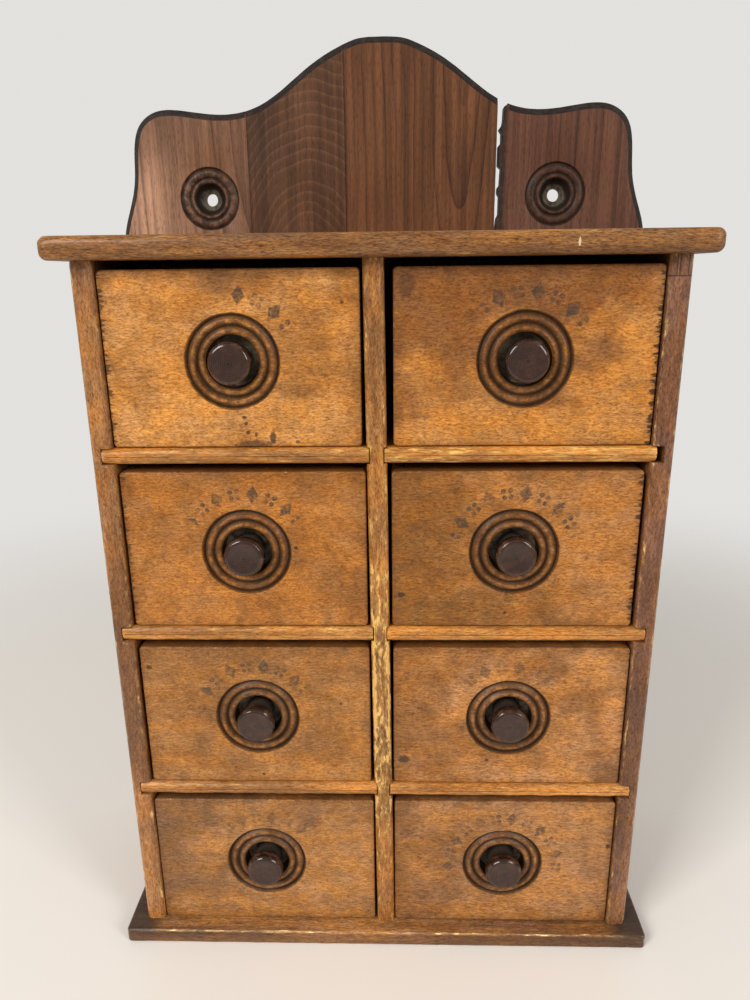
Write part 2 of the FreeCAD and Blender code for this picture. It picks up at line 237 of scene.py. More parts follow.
# %% Shader group: maple
@group("maple_grain", {
    "Vector": "Vector", "Seed": 0.0,
    "Light": (0.58, 0.26, 0.065, 1), "Dark": (0.34, 0.13, 0.032, 1),
    "Cloud bias": 0.0, "Cloud run": 0.7, "Contrast": 1.0,
}, {"Color": "Color", "Height": "Float"})
def maple(tree, given):
    seed = given["Seed"]
    vector = given["Vector"]
    wave = noise(vector * (0.8, 1.0, 1.6), 11 * mm, seed, 2.0)
    waved = vector + point(z=(wave - 0.5) * (4 * mm))
    clouds = noise(vector * point(given["Cloud run"], 1.0, 1.0), 26 * mm, seed, 4.0, 0.6)
    colour = mix(step(clouds + given["Cloud bias"], 0.38, 0.62), given["Light"], given["Dark"])
    warmth = noise(vector * (0.8, 1.0, 1.3), 13 * mm, seed, 3.0, 0.6)
    glaze = mix(step(warmth, 0.38, 0.62), (1.06, 1.0, 0.8, 1), (0.92, 0.97, 1.2, 1))
    colour = tinted(colour, glaze)
    grain = noise(waved * (0.25, 0.9, 1.0), 0.85 * mm, seed, 4.0, 0.65)
    streak = noise(waved * (0.05, 0.9, 1.0), 2.2 * mm, seed, 2.0, 0.55)
    fleck = noise(waved * (0.32, 0.9, 1.0), 0.42 * mm, seed, 1.0, 0.5)
    light = step(grain, 0.32, 0.68, 0.68, 1.28) * step(streak, 0.3, 0.7, 0.92, 1.08)
    light = light * step(fleck, 0.48, 0.68, 1.08, 0.62)
    level = 1.0 + given["Contrast"] * (light - 1.0)
    tint = rgb(level ** 0.9, level ** 1.12, level ** 1.35)
    return {"Color": tinted(colour, tint), "Height": grain + streak * 0.8}


print(maple.name, "sockets", [s.name for s in maple.interface.items_tree])

# %% [markdown]
# ## Growth rings of the crest
# The crest is walnut, and each of its boards was cut from another place in the tree. A flat
# sawn board is a slice through a stack of long cones: the ring lines run straight up it, or
# meet in tall arches. So the figure is drawn from the distance to a centre, which counts in
# full across the board and only partly along it. The centre and that part give each board
# its own figure. Some of the rings are left out, and fine upright pores lie over them all.

# %% Shader group: walnut
@group("walnut_figure", {
    "Vector": "Vector", "Seed": 0.0, "Centre": (0, 0, 0),
    "Lengthways": 0.2, "Ring width": 4 * mm, "Contrast": 0.6,
    "Missing": 0.35,
    "Light": (0.2, 0.1, 0.05, 1), "Dark": (0.07, 0.033, 0.018, 1),
}, {"Color": "Color", "Height": "Float"})
def walnut(tree, given):
    seed = given["Seed"]
    vector = given["Vector"]
    moved = vector - given["Centre"]
    straighter = 1.0 + maths("MAXIMUM", abs(moved.z) - 0.12, 0.0) / 0.05
    flat = point(moved.x, moved.z * given["Lengthways"] / straighter)
    warp = noise(vector * (1.0, 1.0, 0.35), 28 * mm, seed, 2.0)
    reach = maths("LENGTH", flat) + warp * (9 * mm)
    turns = reach / given["Ring width"]
    line = maths("FRACT", turns) ** 5.0
    uneven = noise(point(maths("FLOOR", turns)), 1.7, seed, 0.0)
    streaks = noise(vector * (1.0, 1.0, 0.02), 2.6 * mm, seed, 3.0, 0.6)
    pores = noise(vector * (1.0, 0.6, 0.13), 0.38 * mm, seed, 1.0)
    clouds = noise(vector * (1.0, 1.0, 0.4), 24 * mm, seed, 2.0)
    shade = line * step(uneven, given["Missing"], given["Missing"] + 0.25) * given["Contrast"]
    shade = shade + step(clouds, 0.35, 0.75, 0.0, 0.35)
    colour = mix(shade, given["Light"], given["Dark"])
    light = step(streaks, 0.3, 0.7, 0.66, 1.34) * step(pores, 0.5, 0.7, 1.08, 0.7)
    return {"Color": tinted(colour, grey(light)), "Height": streaks - pores * 0.6}


print(walnut.name, "made")

# %% [markdown]
# ## Wear and dirt
# Where hands and cloths rub, the varnish goes first: along arrises and on the noses of the
# shelves the bare pale wood shows through in ragged patches. Where nobody rubs, dirt stays.
# Both are masks that any of the woods can use. The geometry stores how far its surface turns
# away from the flat faces in an attribute called arris, so the wear follows the real edges of
# each piece. On the case boards the patches are longer along the grain, so there the group
# takes stretched coordinates.

# %% Shader group: wear
@group("worn_varnish", {
    "Vector": "Vector", "Seed": 0.0, "Colour": (0.5, 0.5, 0.5, 1),
    "Bare wood": (0.72, 0.45, 0.16, 1), "Arris wear": 0.5,
    "Face wear": 0.0, "Dirt": 0.3,
}, {"Color": "Color", "Bare": "Float"})
def wear(tree, given):
    seed = given["Seed"]
    vector = given["Vector"]
    arris = add(tree, "ShaderNodeAttribute", attribute_name="arris")["Fac"]
    patches = noise(vector, 2.4 * mm, seed, 5.0, 0.68)
    fine = noise(vector, 0.9 * mm, seed, 3.0, 0.6)
    ragged = patches * 0.75 + fine * 0.25
    pull = arris * given["Arris wear"] + given["Face wear"]
    level = ragged + pull * 0.3
    bare = step(level, 0.70, 0.75)
    half_gone = step(level, 0.60, 0.73) * step(pull, 0.0, 0.2)
    soiled = noise(vector, 11 * mm, seed, 3.0, 0.6)
    dirty = step(soiled, 0.42, 0.66) * given["Dirt"]
    colour = mix(dirty, given["Colour"], (0.03, 0.016, 0.008, 1))
    thin = mix(half_gone * 0.3, colour, given["Bare wood"])
    return {"Color": mix(bare * 0.9, thin, given["Bare wood"]), "Bare": bare}


print(wear.name, "made")

# %% [markdown]
# ## Turned rings and stencilled ornament
# Every front has a ring turned into it: two beads between dark grooves, round a deep pocket.
# Dirt settles in the grooves, and the deep pocket is painted darker as painted shade, so one group darkens a
# turned place by how far it lies below the face. Over each ring there was a stencilled arch, now nearly
# rubbed away. It is drawn here as a plain border of lozenges with groups of four dots between them. Polar
# coordinates about the ring's middle cut the arch into equal cells, a shape is measured inside each cell, and
# noise rubs it out.

# %% Shader group: turned places
ring_radius = 20.2 * mm


@group("turned_dirt_and_shade", {
    "Vector": "Vector", "Seed": 0.0, "Colour": (0.5, 0.3, 0.1, 1),
    "Rim": ring_radius, "Stain": (0.10, 0.040, 0.013, 1),
    "Stain amount": 0.85, "Black": (0.016, 0.0115, 0.008, 1),
    "Floor": 7.6 * mm,
}, {"Color": "Color", "Depth": "Float"})
def turned_dirt_and_shade(tree, given):
    vector = given["Vector"]
    depth = vector.y
    radius = maths("LENGTH", point(vector.x, vector.z))
    inside = step(given["Rim"] - radius, -0.1 * mm, 0.3 * mm)
    past_floor = depth - given["Floor"]
    inside = inside * step(past_floor, 2.2 * mm, 1.4 * mm)
    rubbed_and_sheen = noise(vector, 3.2 * mm, given["Seed"], 4.0, 0.65)
    angle = maths("ARCTAN2", vector.x, vector.z)
    around = point(angle * (18 * mm), radius * 0.4)
    ticks = step(noise(around, 0.8 * mm, given["Seed"], 2.0), 0.35, 0.65, 0.72, 1.3)
    stained = inside * (given["Stain amount"] * step(rubbed_and_sheen, 0.62, 0.36, 0.75, 1.1))
    colour = mix(stained, given["Colour"], tinted(given["Stain"], grey(ticks)))
    rise = step(depth, 0.6 * mm, 0.22 * mm)
    rise = rise * inside * step(rubbed_and_sheen, 0.42, 0.6, 0.1, 0.6)
    colour = mix(rise, colour, given["Colour"])
    # Dirt in the grooves and painted shade down the pocket: the deeper a place lies, the nearer it goes to
    # black.
    dirt = depth + (rubbed_and_sheen - 0.5) * (0.9 * mm)
    dirt = step(dirt, 0.6 * mm, 2.0 * mm) * inside
    dust = step(past_floor, 0.0, 0.6 * mm) * step(rubbed_and_sheen, 0.35, 0.6)
    black = mix(dust, given["Black"], (0.11, 0.088, 0.055, 1))
    return {"Color": mix(dirt * 0.93, colour, black), "Depth": dirt}

# %% Shader group: stencilled ornament
arch_radius = 27.3 * mm
cell_angle = math.radians(17)
lozenge_across, lozenge_up = 2.9 * mm, 4.2 * mm
dot_offset = 1.5 * mm


@group("stencilled_arch", {
    "Vector": "Vector", "Seed": 0.0, "From": -1.0,
    "To": 1.0, "Strength": 0.5,
}, {"Mask": "Float"})
def ornament(tree, given):
    vector = given["Vector"]
    angle = maths("ARCTAN2", vector.x, vector.z)
    cell = angle / cell_angle
    across = abs((maths("FRACT", cell) - 0.5) * (cell_angle * arch_radius))
    up = abs(maths("LENGTH", point(vector.x, vector.z)) - arch_radius)
    odd = abs(maths("MODULO", maths("FLOOR", cell), 2.0))
    lozenge = step(across / lozenge_across + up / lozenge_up, 1.1, 0.86)
    away = point(across - dot_offset, up - dot_offset)
    dots = step(maths("LENGTH", away), 1.3 * mm, 0.9 * mm)
    shape = add(tree, "ShaderNodeMix", {0: odd, 2: lozenge, 3: dots})[0]
    start = step(angle, given["From"] - 0.1, given["From"])
    stop = step(angle, given["To"], given["To"] - 0.1)
    rubbed_and_sheen = noise(vector, 1.1 * mm, given["Seed"], 4.0, 0.7)
    faded = noise(vector, 7 * mm, given["Seed"], 2.0)
    kept = step(rubbed_and_sheen, 0.68, 0.42, 0.3, 1.0) * step(faded, 0.66, 0.44, 0.45, 1.0)
    mask = shape * kept * (start * stop)
    return {"Mask": mask * step(vector.y, 1.0 * mm, 0.5 * mm) * given["Strength"]}


print("cells in a half turn", round(math.pi / cell_angle, 1))

# %% [markdown]
# ## Putting a finish together
# A finish starts as a new material whose Principled shader is left in the material itself,
# with a satin roughness. The groups only send it colours and heights.

# %% Starting a finish
def new_finish(name, roughness, gleam=0.28):
    """A material with its shader and the piece's own coordinates."""
    material = bpy.data.materials.new(name)
    material.use_nodes = True
    shader = material.node_tree.nodes["Principled BSDF"]
    shader.inputs["Roughness"].default_value = roughness
    shader.inputs["Specular IOR Level"].default_value = gleam
    place = add(material.node_tree, "ShaderNodeTexCoord")["Object"]
    return material, shader, place


def finish_with(shader, colour, height, depth, gloss=None):
    """Connect a colour, a relief of the given depth in metres and a roughness."""
    connect(colour, shader.inputs["Base Color"])
    wires = {"Height": height, "Distance": depth, "Strength": 0.6}
    connect(add(colour.tree, "ShaderNodeBump", wires)[0], shader.inputs["Normal"])
    if gloss is not None:
        connect(gloss, shader.inputs["Roughness"])


def upright(vector):
    """Coordinates for a board whose grain runs along Z instead of X."""
    return point(vector.z, vector.y, vector.x)

# %% [markdown]
# ## Finishes of the case boards
# The case boards share one recipe and differ in tone, in the run of the grain and in how far
# they are worn. The shelf noses and the divider are worn most, because every drawer that is
# pulled out is felt for with the fingers there: they get wear on the face as well as on the
# arrises, limited to the few millimetres behind their front edges.

# %% Case finishes
case_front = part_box("left_side")[0].y
base_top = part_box("base_board")[1].z
scribed_lines = (118.3 * mm, 119.5 * mm, 122.9 * mm)
scribed_height = 331.2 * mm
chip_place = (77.5 * mm, 0.0, 344.2 * mm)


def shaded(colour, wire, low, high, start, end):
    """A colour whose level goes from start to end while a wire goes from low to high."""
    return tinted(colour, grey(step(wire, low, high, start, end)))


def marked_side(place, colour):
    """The right side gets paler upwards and has lines scribed across its top for a joint."""
    colour = shaded(colour, place.z, 60 * mm, 250 * mm, 0.86, 1.3)
    above = step(place.z, scribed_height - 0.4 * mm, scribed_height + 0.2 * mm)
    lines = [step(abs(place.x - x), 0.4 * mm, 0.15 * mm) * above for x in scribed_lines]
    lines.append(step(abs(place.z - scribed_height), 0.4 * mm, 0.15 * mm))
    line = functools.reduce(lambda one, other: maths("MAXIMUM", one, other), lines)
    on_front = step(place.y, case_front + 6 * mm, case_front + 4 * mm, 0.0, 0.75)
    return mix(line * on_front, colour, (0.02, 0.009, 0.006, 1))


def lit_top_dark_ends(place, colour):
    """The top face of the base board is painted paler as painted light, and the board turns nearly black at
    its ends, most on its top.
    """
    on_top = step(place.z, base_top - 1.4 * mm, base_top - 0.3 * mm)
    # Painted light: the top face is made paler, as if more light fell on it.
    colour = mix(on_top, colour, tinted(colour, (1.85, 2.05, 2.4, 1)))
    reach = abs(place.x) + noise(place, 14 * mm, 5.0, 4.0, 0.6) * (22 * mm)
    dark_ends = step(reach, 121 * mm, 136 * mm) * (0.3 + on_top * 0.52)
    return mix(dark_ends, colour, (0.022, 0.017, 0.014, 1))


def paler_low_side(place, colour):
    """The left side gets paler towards the floor."""
    return shaded(colour, place.z, 50 * mm, 150 * mm, 1.3, 1.0)


def ragged_spot(place, middle, wide, tall, size, seed, raggedness):
    """How far a point lies from a spot's middle, one at its edge, with noise added."""
    moved = (place - middle) * (1 / wide, 0.0, 1 / tall)
    return maths("LENGTH", moved) + noise(place, size, seed, 2.0, 0.6) * raggedness


def chipped(place, colour):
    """The top board is browner towards the right, and its front edge has a pale chip."""
    colour = shaded(colour, place.x, 30 * mm, 115 * mm, 1.0, 0.68)
    far = ragged_spot(place, chip_place, 0.55 * mm, 1.7 * mm, 0.8 * mm, 2.0, 0.8)
    return mix(step(far, 1.45, 1.15, 0.0, 0.8), colour, (0.78, 0.58, 0.38, 1))


def board_finish(name, seed, light, dark, runs="X", arris_wear=0.5, nose_wear=0.0, dirt=0.3,
                 bare=(0.72, 0.45, 0.16), extra=None, most_worn=None, contrast=1.1):
    """Varnished maple board with worn arrises; most_worn is a height where hands rub most."""
    material, shader, place = new_finish(name + "_varnish", board_gloss, 0.42)
    along = upright(place) if runs == "Z" else place * (0.8, 1.6, 1.6)
    behind = place.y - case_front
    strong = step(behind, 14 * mm, 6 * mm, 0.7, contrast) if runs == "Z" else contrast
    wires = {"Vector": along, "Seed": seed, "Light": (*light, 1), "Dark": (*dark, 1),
             "Cloud run": 0.22, "Contrast": strong}
    grain = use_group(maple, wires)
    nose = step(behind, 3.2 * mm, 0.6 * mm) * nose_wear
    if most_worn is not None:
        nose = nose * step(abs(place.z - most_worn), 120 * mm, 20 * mm, 0.4, 1.0)
    wires = {"Vector": along * (0.3, 1.0, 1.0), "Seed": seed, "Colour": grain["Color"],
             "Bare wood": (*bare, 1), "Arris wear": arris_wear, "Face wear": nose, "Dirt": dirt}
    worn = use_group(wear, wires)
    gloss = step(worn["Bare"], 0.0, 1.0, board_gloss, board_gloss + 0.25)
    colour = extra(place, worn["Color"]) if extra else worn["Color"]
    finish_with(shader, colour, grain["Height"], 0.12 * mm, gloss)
    return material


board_gloss = 0.36
pale_bare = (0.85, 0.50, 0.14)
# Seed, light tone, dark tone, run of the grain, wear of the arrises and of the nose, and the
# dirt where it isn't the usual amount.
case_recipes = {
    "left_side": (1.0, (0.42, 0.175, 0.048), (0.20, 0.078, 0.023), "Z", 0.35, 0.1),
    "right_side": (2.0, (0.31, 0.13, 0.052), (0.13, 0.052, 0.023), "Z", 0.48, 0.0),
    "centre_divider": (3.0, (0.55, 0.22, 0.046), (0.22, 0.086, 0.020), "Z", 0.24, 0.62),
    "top_board": (4.0, (0.47, 0.198, 0.047), (0.22, 0.09, 0.024), "X", 0.25, 0.0, 0.25),
    "base_board": (5.0, (0.265, 0.112, 0.033), (0.115, 0.047, 0.016), "X", 0.5, 0.0),
}
case_extras = {
    "left_side": {"extra": paler_low_side},
    "right_side": {"extra": marked_side},
    "centre_divider": {"bare": pale_bare, "most_worn": 140 * mm},
    "top_board": {"extra": chipped, "contrast": 1.5},
    "base_board": {"extra": lit_top_dark_ends, "contrast": 1.3},
}
shelf_tones = (0.68, 0.27, 0.050), (0.38, 0.145, 0.028)
# How far the noses of the shelves are worn, for the left and the right shelf of each row.
shelf_wear = {1: (0.24, 0.42), 2: (0.26, 0.16), 3: (0.16, 0.16)}
for row, amounts in shelf_wear.items():
    for hand, amount in zip(hands, amounts):
        seed = 6.0 + row + (hand == "left") * 5
        case_recipes[f"shelf_{hand}_{row}"] = (seed, *shelf_tones, "X", 0.22, amount)
        case_extras[f"shelf_{hand}_{row}"] = {"bare": pale_bare}
case_finishes = {name: board_finish(name, *recipe, **case_extras[name])
                 for name, recipe in case_recipes.items()}
print("case finishes", len(case_finishes))

# %% [markdown]
# ## Finish of the drawer fronts
# The fronts carry most of the character, so each one has its own finish: the same maple, but with its own
# tone, its own clouds, ring, ornament, stains and edge nicks. Everything is measured from the middle of its
# ring, so the coordinates are moved there first. Each front gets darker in blotches towards its edges and
# corners, where it meets the case, and short dark nicks run in from the outer edge, where the drawer has
# scraped past the case for years.

# %% Shader group: one front
@group("drawer_front_wood", {
    "Vector": "Vector", "Seed": 0.0,
    "Light": (0.58, 0.26, 0.065, 1), "Dark": (0.34, 0.13, 0.032, 1),
    "Lean": (0, 0, 0), "Half size": (54 * mm, 0, 37 * mm),
    "Outer": 1.0, "Edge darkening": 0.5, "Arris wear": 0.3,
    "From": -1.0, "To": 1.0, "Ornament": 0.5,
    "Stain": (0.10, 0.040, 0.013, 1), "Nicks": 0.9,
}, {"Color": "Color", "Height": "Float", "Depth": "Float"})
def front_wood(tree, given):
    seed = given["Seed"]
    vector = given["Vector"]
    wood = {"Vector": vector, "Seed": seed}
    bias = maths("DOT_PRODUCT", vector, given["Lean"])
    tones = {"Light": given["Light"], "Dark": given["Dark"], "Cloud bias": bias}
    grain = use_group(maple, wood | tones)
    gap = given["Half size"] - abs(vector)
    edge = maths("MINIMUM", gap.x, gap.z)
    corner = maths("SMOOTH_MIN", gap.x, gap.z, 14 * mm)
    # Each front is darker in blotches towards its edges and corners.
    blotch = noise(vector, 9 * mm, seed, 4.0, 0.65)
    reach = corner + (blotch - 0.5) * (16 * mm)
    shade = step(reach, 6 * mm, -3.5 * mm) * given["Edge darkening"]
    colour = mix(shade, grain["Color"], given["Stain"])
    from_outer = given["Half size"].x - vector.x * given["Outer"]
    nicks = noise(vector * (0.2, 1.0, 1.0), 1.3 * mm, seed, 2.0, 0.5)
    nicked = nicks * step(from_outer, 4.5 * mm, 0.2 * mm, 0.75, 1.25)
    nicked = step(nicked, 0.56, 0.66) * step(from_outer, 6 * mm, 2 * mm) * given["Nicks"]
    colour = mix(nicked, colour, (0.03, 0.014, 0.008, 1))
    lines = noise(vector * (0.06, 1.0, 1.0), 0.6 * mm, seed, 1.0, 0.4)
    somewhere = step(noise(vector, 15 * mm, seed, 2.0), 0.52, 0.62)
    scratch = step(lines, 0.66, 0.72) * somewhere
    colour = mix(scratch * 0.3, colour, (0.75, 0.42, 0.12, 1))
    arc = {"From": given["From"], "To": given["To"], "Strength": given["Ornament"]}
    printed = use_group(ornament, wood | arc)["Mask"]
    colour = mix(printed, colour, (0.055, 0.040, 0.028, 1))
    rubbed_and_sheen = {"Colour": colour, "Arris wear": given["Arris wear"], "Dirt": 0.25}
    worn = use_group(wear, wood | rubbed_and_sheen)
    turned = use_group(turned_dirt_and_shade, wood | {"Colour": worn["Color"], "Stain": given["Stain"]})
    seam = step(edge, 0.45 * mm, -0.1 * mm, 0.0, 0.4)
    return {"Color": mix(seam, turned["Color"], (0.05, 0.022, 0.012, 1)),
            "Height": grain["Height"],
            "Depth": turned["Depth"]}

# %% Finishes of the eight fronts
ring_drop = 0.6 * mm


def ring_centre(name):
    """Middle of a drawer's ring, in the plane of its face."""
    low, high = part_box(name + "_front")
    return Vector(((low.x + high.x) / 2, low.y, (low.z + high.z) / 2 - ring_drop))


# For each front: its light and its dark tone, the way in which its clouds get browner, the
# arc of its ornament (from and to in degrees clockwise from the top, strength), how dark the
# nicks along its outer edge are, and the marks left by spills and fingers: place across and
# up from the ring's middle, width and height in millimetres, strength.
front_recipes = {
    ("left", 1): (
        (0.63, 0.275, 0.068), (0.42, 0.165, 0.032), (1.5, 0.0, 2.0), (2, 64, 0.85), 0.75,
        [(7.0, -34.9, 8.6, 1.7, 0.7), (15.6, -32.0, 1.5, 3.0, 0.8), (3.7, -23.4, 0.95, 0.9, 0.8),
         (4.4, -26.1, 0.8, 0.9, 0.8), (5.0, -29.8, 0.95, 0.95, 0.8), (8.4, -30.7, 0.8, 0.9, 0.8),
         (26.2, -34.0, 1.2, 0.9, 0.7), (46.4, 23.8, 0.8, 0.8, 0.8), (32.0, -12.5, 9.0, 3.5, 0.22),
         (-1.0, 32.0, 13.0, 5.0, 0.24)]),
    ("right", 1): (
        (0.56, 0.228, 0.047), (0.26, 0.094, 0.020), (-1.2, 0.0, 6.0), (-42, 64, 0.95), 0.9,
        [(-49.0, 30.0, 4.0, 5.0, 0.5)]),
    ("left", 2): (
        (0.47, 0.182, 0.038), (0.33, 0.122, 0.022), (0.0, 0.0, 1.5), (-56, 60, 0.95), 0.6,
        [(22.3, 2.2, 0.9, 0.9, 0.9)]),
    ("right", 2): (
        (0.46, 0.187, 0.046), (0.27, 0.102, 0.017), (-3.0, 0.0, -1.0), (-76, 76, 0.9), 0.8,
        [(-50.3, -20.5, 1.8, 1.4, 0.85), (-3.1, -29.3, 1.0, 0.8, 0.8)]),
    ("left", 3): (
        (0.45, 0.19, 0.046), (0.32, 0.13, 0.030), (0.0, 0.0, 1.5), (-60, 60, 0.75), 0.25,
        [(-50.2, 26.8, 1.6, 1.2, 0.8), (40.3, 7.6, 0.8, 0.8, 0.8), (1.2, -31.9, 0.9, 0.8, 0.8)]),
    ("right", 3): (
        (0.52, 0.228, 0.070), (0.33, 0.132, 0.032), (-1.5, 0.0, 1.0), (-42, 46, 0.6), 0.4,
        [(-49.7, -22.8, 3.2, 2.2, 0.8), (-9.6, -23.1, 0.9, 0.9, 0.8), (47.0, -30.0, 9.0, 8.0, 0.38)]),
    ("left", 4): (
        (0.46, 0.205, 0.060), (0.26, 0.118, 0.040), (-3.0, 0.0, 1.0), (-42, 50, 0.5), 0.15, []),
    ("right", 4): (
        (0.45, 0.202, 0.066), (0.30, 0.128, 0.038), (-1.5, 0.0, -1.0), (-106, 106, 0.8), 0.3,
        [(52.6, 11.4, 1.2, 1.4, 0.9)]),
}


def add_mark(vector, colour, seed, x, z, wide, tall, strength):
    """Mix a dark spot with a ragged edge into a colour; its lengths are in millimetres."""
    far = ragged_spot(vector, (x * mm, 0.0, z * mm), wide * mm, tall * mm, 1.4 * mm, seed, 1.2)
    return mix(step(far, 1.75, 1.25, 0.0, strength), colour, (0.035, 0.019, 0.013, 1))


def front_finish(index, hand, row):
    name = f"drawer_{hand}_{row}"
    low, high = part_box(name + "_front")
    light, dark, lean, (begin, end, strength), nicks, marks = front_recipes[(hand, row)]
    material, shader, place = new_finish(name + "_varnish", 0.4)
    local = place - ring_centre(name)
    wires = {"Vector": local, "Seed": 11.3 + 3.7 * index, "Light": (*light, 1),
             "Dark": (*dark, 1), "Lean": lean,
             "Half size": ((high.x - low.x) / 2, 0.0, (high.z - low.z) / 2 + ring_drop),
             "Outer": -1.0 if hand == "left" else 1.0, "From": math.radians(begin),
             "To": math.radians(end), "Ornament": strength, "Nicks": nicks}
    wood = use_group(front_wood, wires)
    colour = wood["Color"]
    for mark in marks:
        colour = add_mark(local, colour, index, *mark)
    gloss = step(wood["Depth"], 0.0, 1.0, 0.4, 0.6)
    finish_with(shader, colour, wood["Height"], 0.1 * mm, gloss)
    return material


front_finishes = {f"drawer_{hand}_{row}": front_finish(index, hand, row)
                  for index, (hand, row) in enumerate(front_recipes)}
print("front finishes", len(front_finishes))

# %% [markdown]
# ## Knobs, plain drawer wood, nails and crest
# The knobs are dark and still glossy, with fine rings left by the turning tool and a pip in
# the middle of the face. Inside, the drawers were never finished: the wood is dry and pale
# brown. The nails are dull iron.

# %% Knob, box wood and nail finishes
def knob_finish(seed):
    material, shader, place = new_finish(f"knob_polish_{seed}", 0.13, 0.5)
    outline = add(place.tree, "ShaderNodeAttribute", attribute_name="turned")["Vector"]
    radius, depth = outline.x, outline.y
    patches = noise(place, 3.5 * mm, seed, 4.0, 0.6)
    colour = mix(step(patches, 0.4, 0.7), (0.020, 0.0080, 0.0050, 1), (0.052, 0.021, 0.012, 1))
    rings = maths("SINE", radius / (0.14 * mm))
    ringed = step(rings, -1.0, 1.0) * step(depth, 2 * mm, 1 * mm, 0.0, 0.4)
    colour = mix(ringed, colour, (0.080, 0.034, 0.020, 1))
    worn = step(radius, 7.2 * mm, 8.6 * mm) * step(patches, 0.5, 0.62)
    colour = mix(worn * 0.35, colour, (0.17, 0.085, 0.05, 1))
    dust = step(depth, 5.5 * mm, 14 * mm, 0.0, 0.5)
    colour = mix(dust, colour, (0.075, 0.062, 0.045, 1))
    pip = step(radius, 0.75 * mm, 0.45 * mm) * step(depth, 2 * mm, 1 * mm)
    colour = mix(pip * 0.8, colour, (0.012, 0.008, 0.006, 1))
    gloss = step(depth, 4.0 * mm, 9.0 * mm, 0.13, 0.55)
    finish_with(shader, colour, rings * 0.3 - pip, 0.05 * mm, gloss)
    return material


def plain_finish(name, turns=False):
    """Dry bare wood; turned coordinates let the grain run along Y."""
    material, shader, place = new_finish(name, 0.75)
    along = point(place.y, place.x, place.z) if turns else place
    wires = {"Vector": along, "Seed": 31.0, "Light": (0.44, 0.28, 0.13, 1), "Dark": (0.27, 0.155, 0.07, 1)}
    grain = use_group(maple, wires)
    finish_with(shader, grain["Color"], grain["Height"], 0.2 * mm)
    return material


def iron_finish():
    material, shader, place = new_finish("nail_iron_dull", 0.6)
    shader.inputs["Metallic"].default_value = 0.7
    rust = noise(place, 1.2 * mm, 4.0, 3.0, 0.6)
    colour = mix(step(rust, 0.4, 0.65), (0.07, 0.066, 0.062, 1), (0.10, 0.045, 0.022, 1))
    finish_with(shader, colour, rust, 0.1 * mm)
    return material


box_sides = plain_finish("box_side_wood", turns=True)
box_across = plain_finish("box_back_wood")
iron = iron_finish()

# %% Crest finishes
top_of_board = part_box("top_board")[1].z
crest_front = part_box("back_stave_1")[0].y
crack_edge = 62.2 * mm
hole_across, hole_up = 87.7 * mm, 22 * mm
hole_height = top_of_board + hole_up
rosette_radius = 15.2 * mm
rosette_places = {"back_stave_1": Vector((-hole_across, 0, hole_height)),
                  "back_stave_4": Vector((hole_across, 0, hole_height))}


def stave_finish(name, seed, centre, lengthways, ring_width, contrast, light, dark, missing=0.35):
    """Walnut with its own figure, a blackened edge, and dirt and painted shade in the rosette if it has one.
    """
    material, shader, place = new_finish(name + "_walnut", 0.45, 0.2)
    wires = {"Vector": place, "Seed": seed, "Centre": centre, "Lengthways": lengthways,
             "Ring width": ring_width * mm, "Contrast": contrast, "Light": (*light, 1),
             "Dark": (*dark, 1), "Missing": missing}
    figure = use_group(walnut, wires)
    colour = figure["Color"]
    # The first board's lower left is painted paler: a painted sheen, as if light fell brighter there.
    if name == "back_stave_1":
        rubbed_and_sheen = step(place.x, -88 * mm, -122 * mm) * step(place.z, 408 * mm, 370 * mm)
        colour = mix(rubbed_and_sheen, colour, tinted(colour, (2.2, 2.5, 2.8, 1)))
    if name in rosette_places:
        local = place - (rosette_places[name] + Vector((0, crest_front, 0)))
        wires = {"Vector": local, "Seed": seed, "Colour": colour, "Rim": rosette_radius,
                 "Stain": (0.032, 0.017, 0.011, 1), "Stain amount": 0.92, "Floor": 4.2 * mm}
        colour = use_group(turned_dirt_and_shade, wires)["Color"]
    paint = add(place.tree, "ShaderNodeAttribute", attribute_name="paint")["Fac"]
    ragged = noise(place, 3.0 * mm, seed, 3.0, 0.6)
    paint = step(paint + ragged * 0.4, 0.45, 0.7)
    if name == "back_stave_4":
        above = step(place.z, top_of_board - 3 * mm, top_of_board, 0.0, 0.8)
        by_crack = step(place.x + ragged * (2 * mm), crack_edge + 1.2 * mm, crack_edge) * above
        paint = maths("MAXIMUM", paint, by_crack)
    black = mix(step(ragged, 0.45, 0.62), (0.012, 0.009, 0.008, 1), (0.027, 0.020, 0.016, 1))
    colour = mix(paint * 0.95, colour, black)
    finish_with(shader, colour, figure["Height"], 0.12 * mm)
    return material


# Centre and stretch of the figure, width and contrast of its rings, its two tones, and how
# many of the rings are left out where it isn't the usual share.
figures = [
    ((-0.055, 0, 0.47), 0.16, 9.0, 0.75, (0.20, 0.096, 0.052), (0.075, 0.034, 0.018)),
    ((-0.037, 0, 0.33), 0.6, 3.1, 0.55, (0.070, 0.029, 0.013), (0.165, 0.075, 0.036), 0.2),
    ((0.040, 0, 0.47), 0.1, 4.9, 0.8, (0.138, 0.053, 0.020), (0.044, 0.017, 0.008)),
    ((-0.06, 0, 0.2), 0.05, 3.0, 0.6, (0.125, 0.051, 0.029), (0.044, 0.018, 0.011)),
]
stave_names = [f"back_stave_{number}" for number in (1, 2, 3, 4)]
stave_finishes = {name: stave_finish(name, index + 1.0, *figure)
                  for index, (name, figure) in enumerate(zip(stave_names, figures))}
print("stave finishes", len(stave_finishes))

# %% [markdown]
# ## Worn arrises as a geometry tree
# No arris on an old cabinet is a clean line: it has been rubbed lower in places and nicked in
# others. One tree does this for the case boards, the drawer fronts and the crest. It finds how
# far a surface turns away from the flat faces, pushes those points inwards by noise, and
# stores the value as the attribute that the wear masks read. Wear only takes wood away, so
# the pieces stay inside their frame. The result is taken out as a plain mesh, because the
# pieces have to stand alone. Like every geometry tree here it ends by making its geometry
# real and giving it a material.

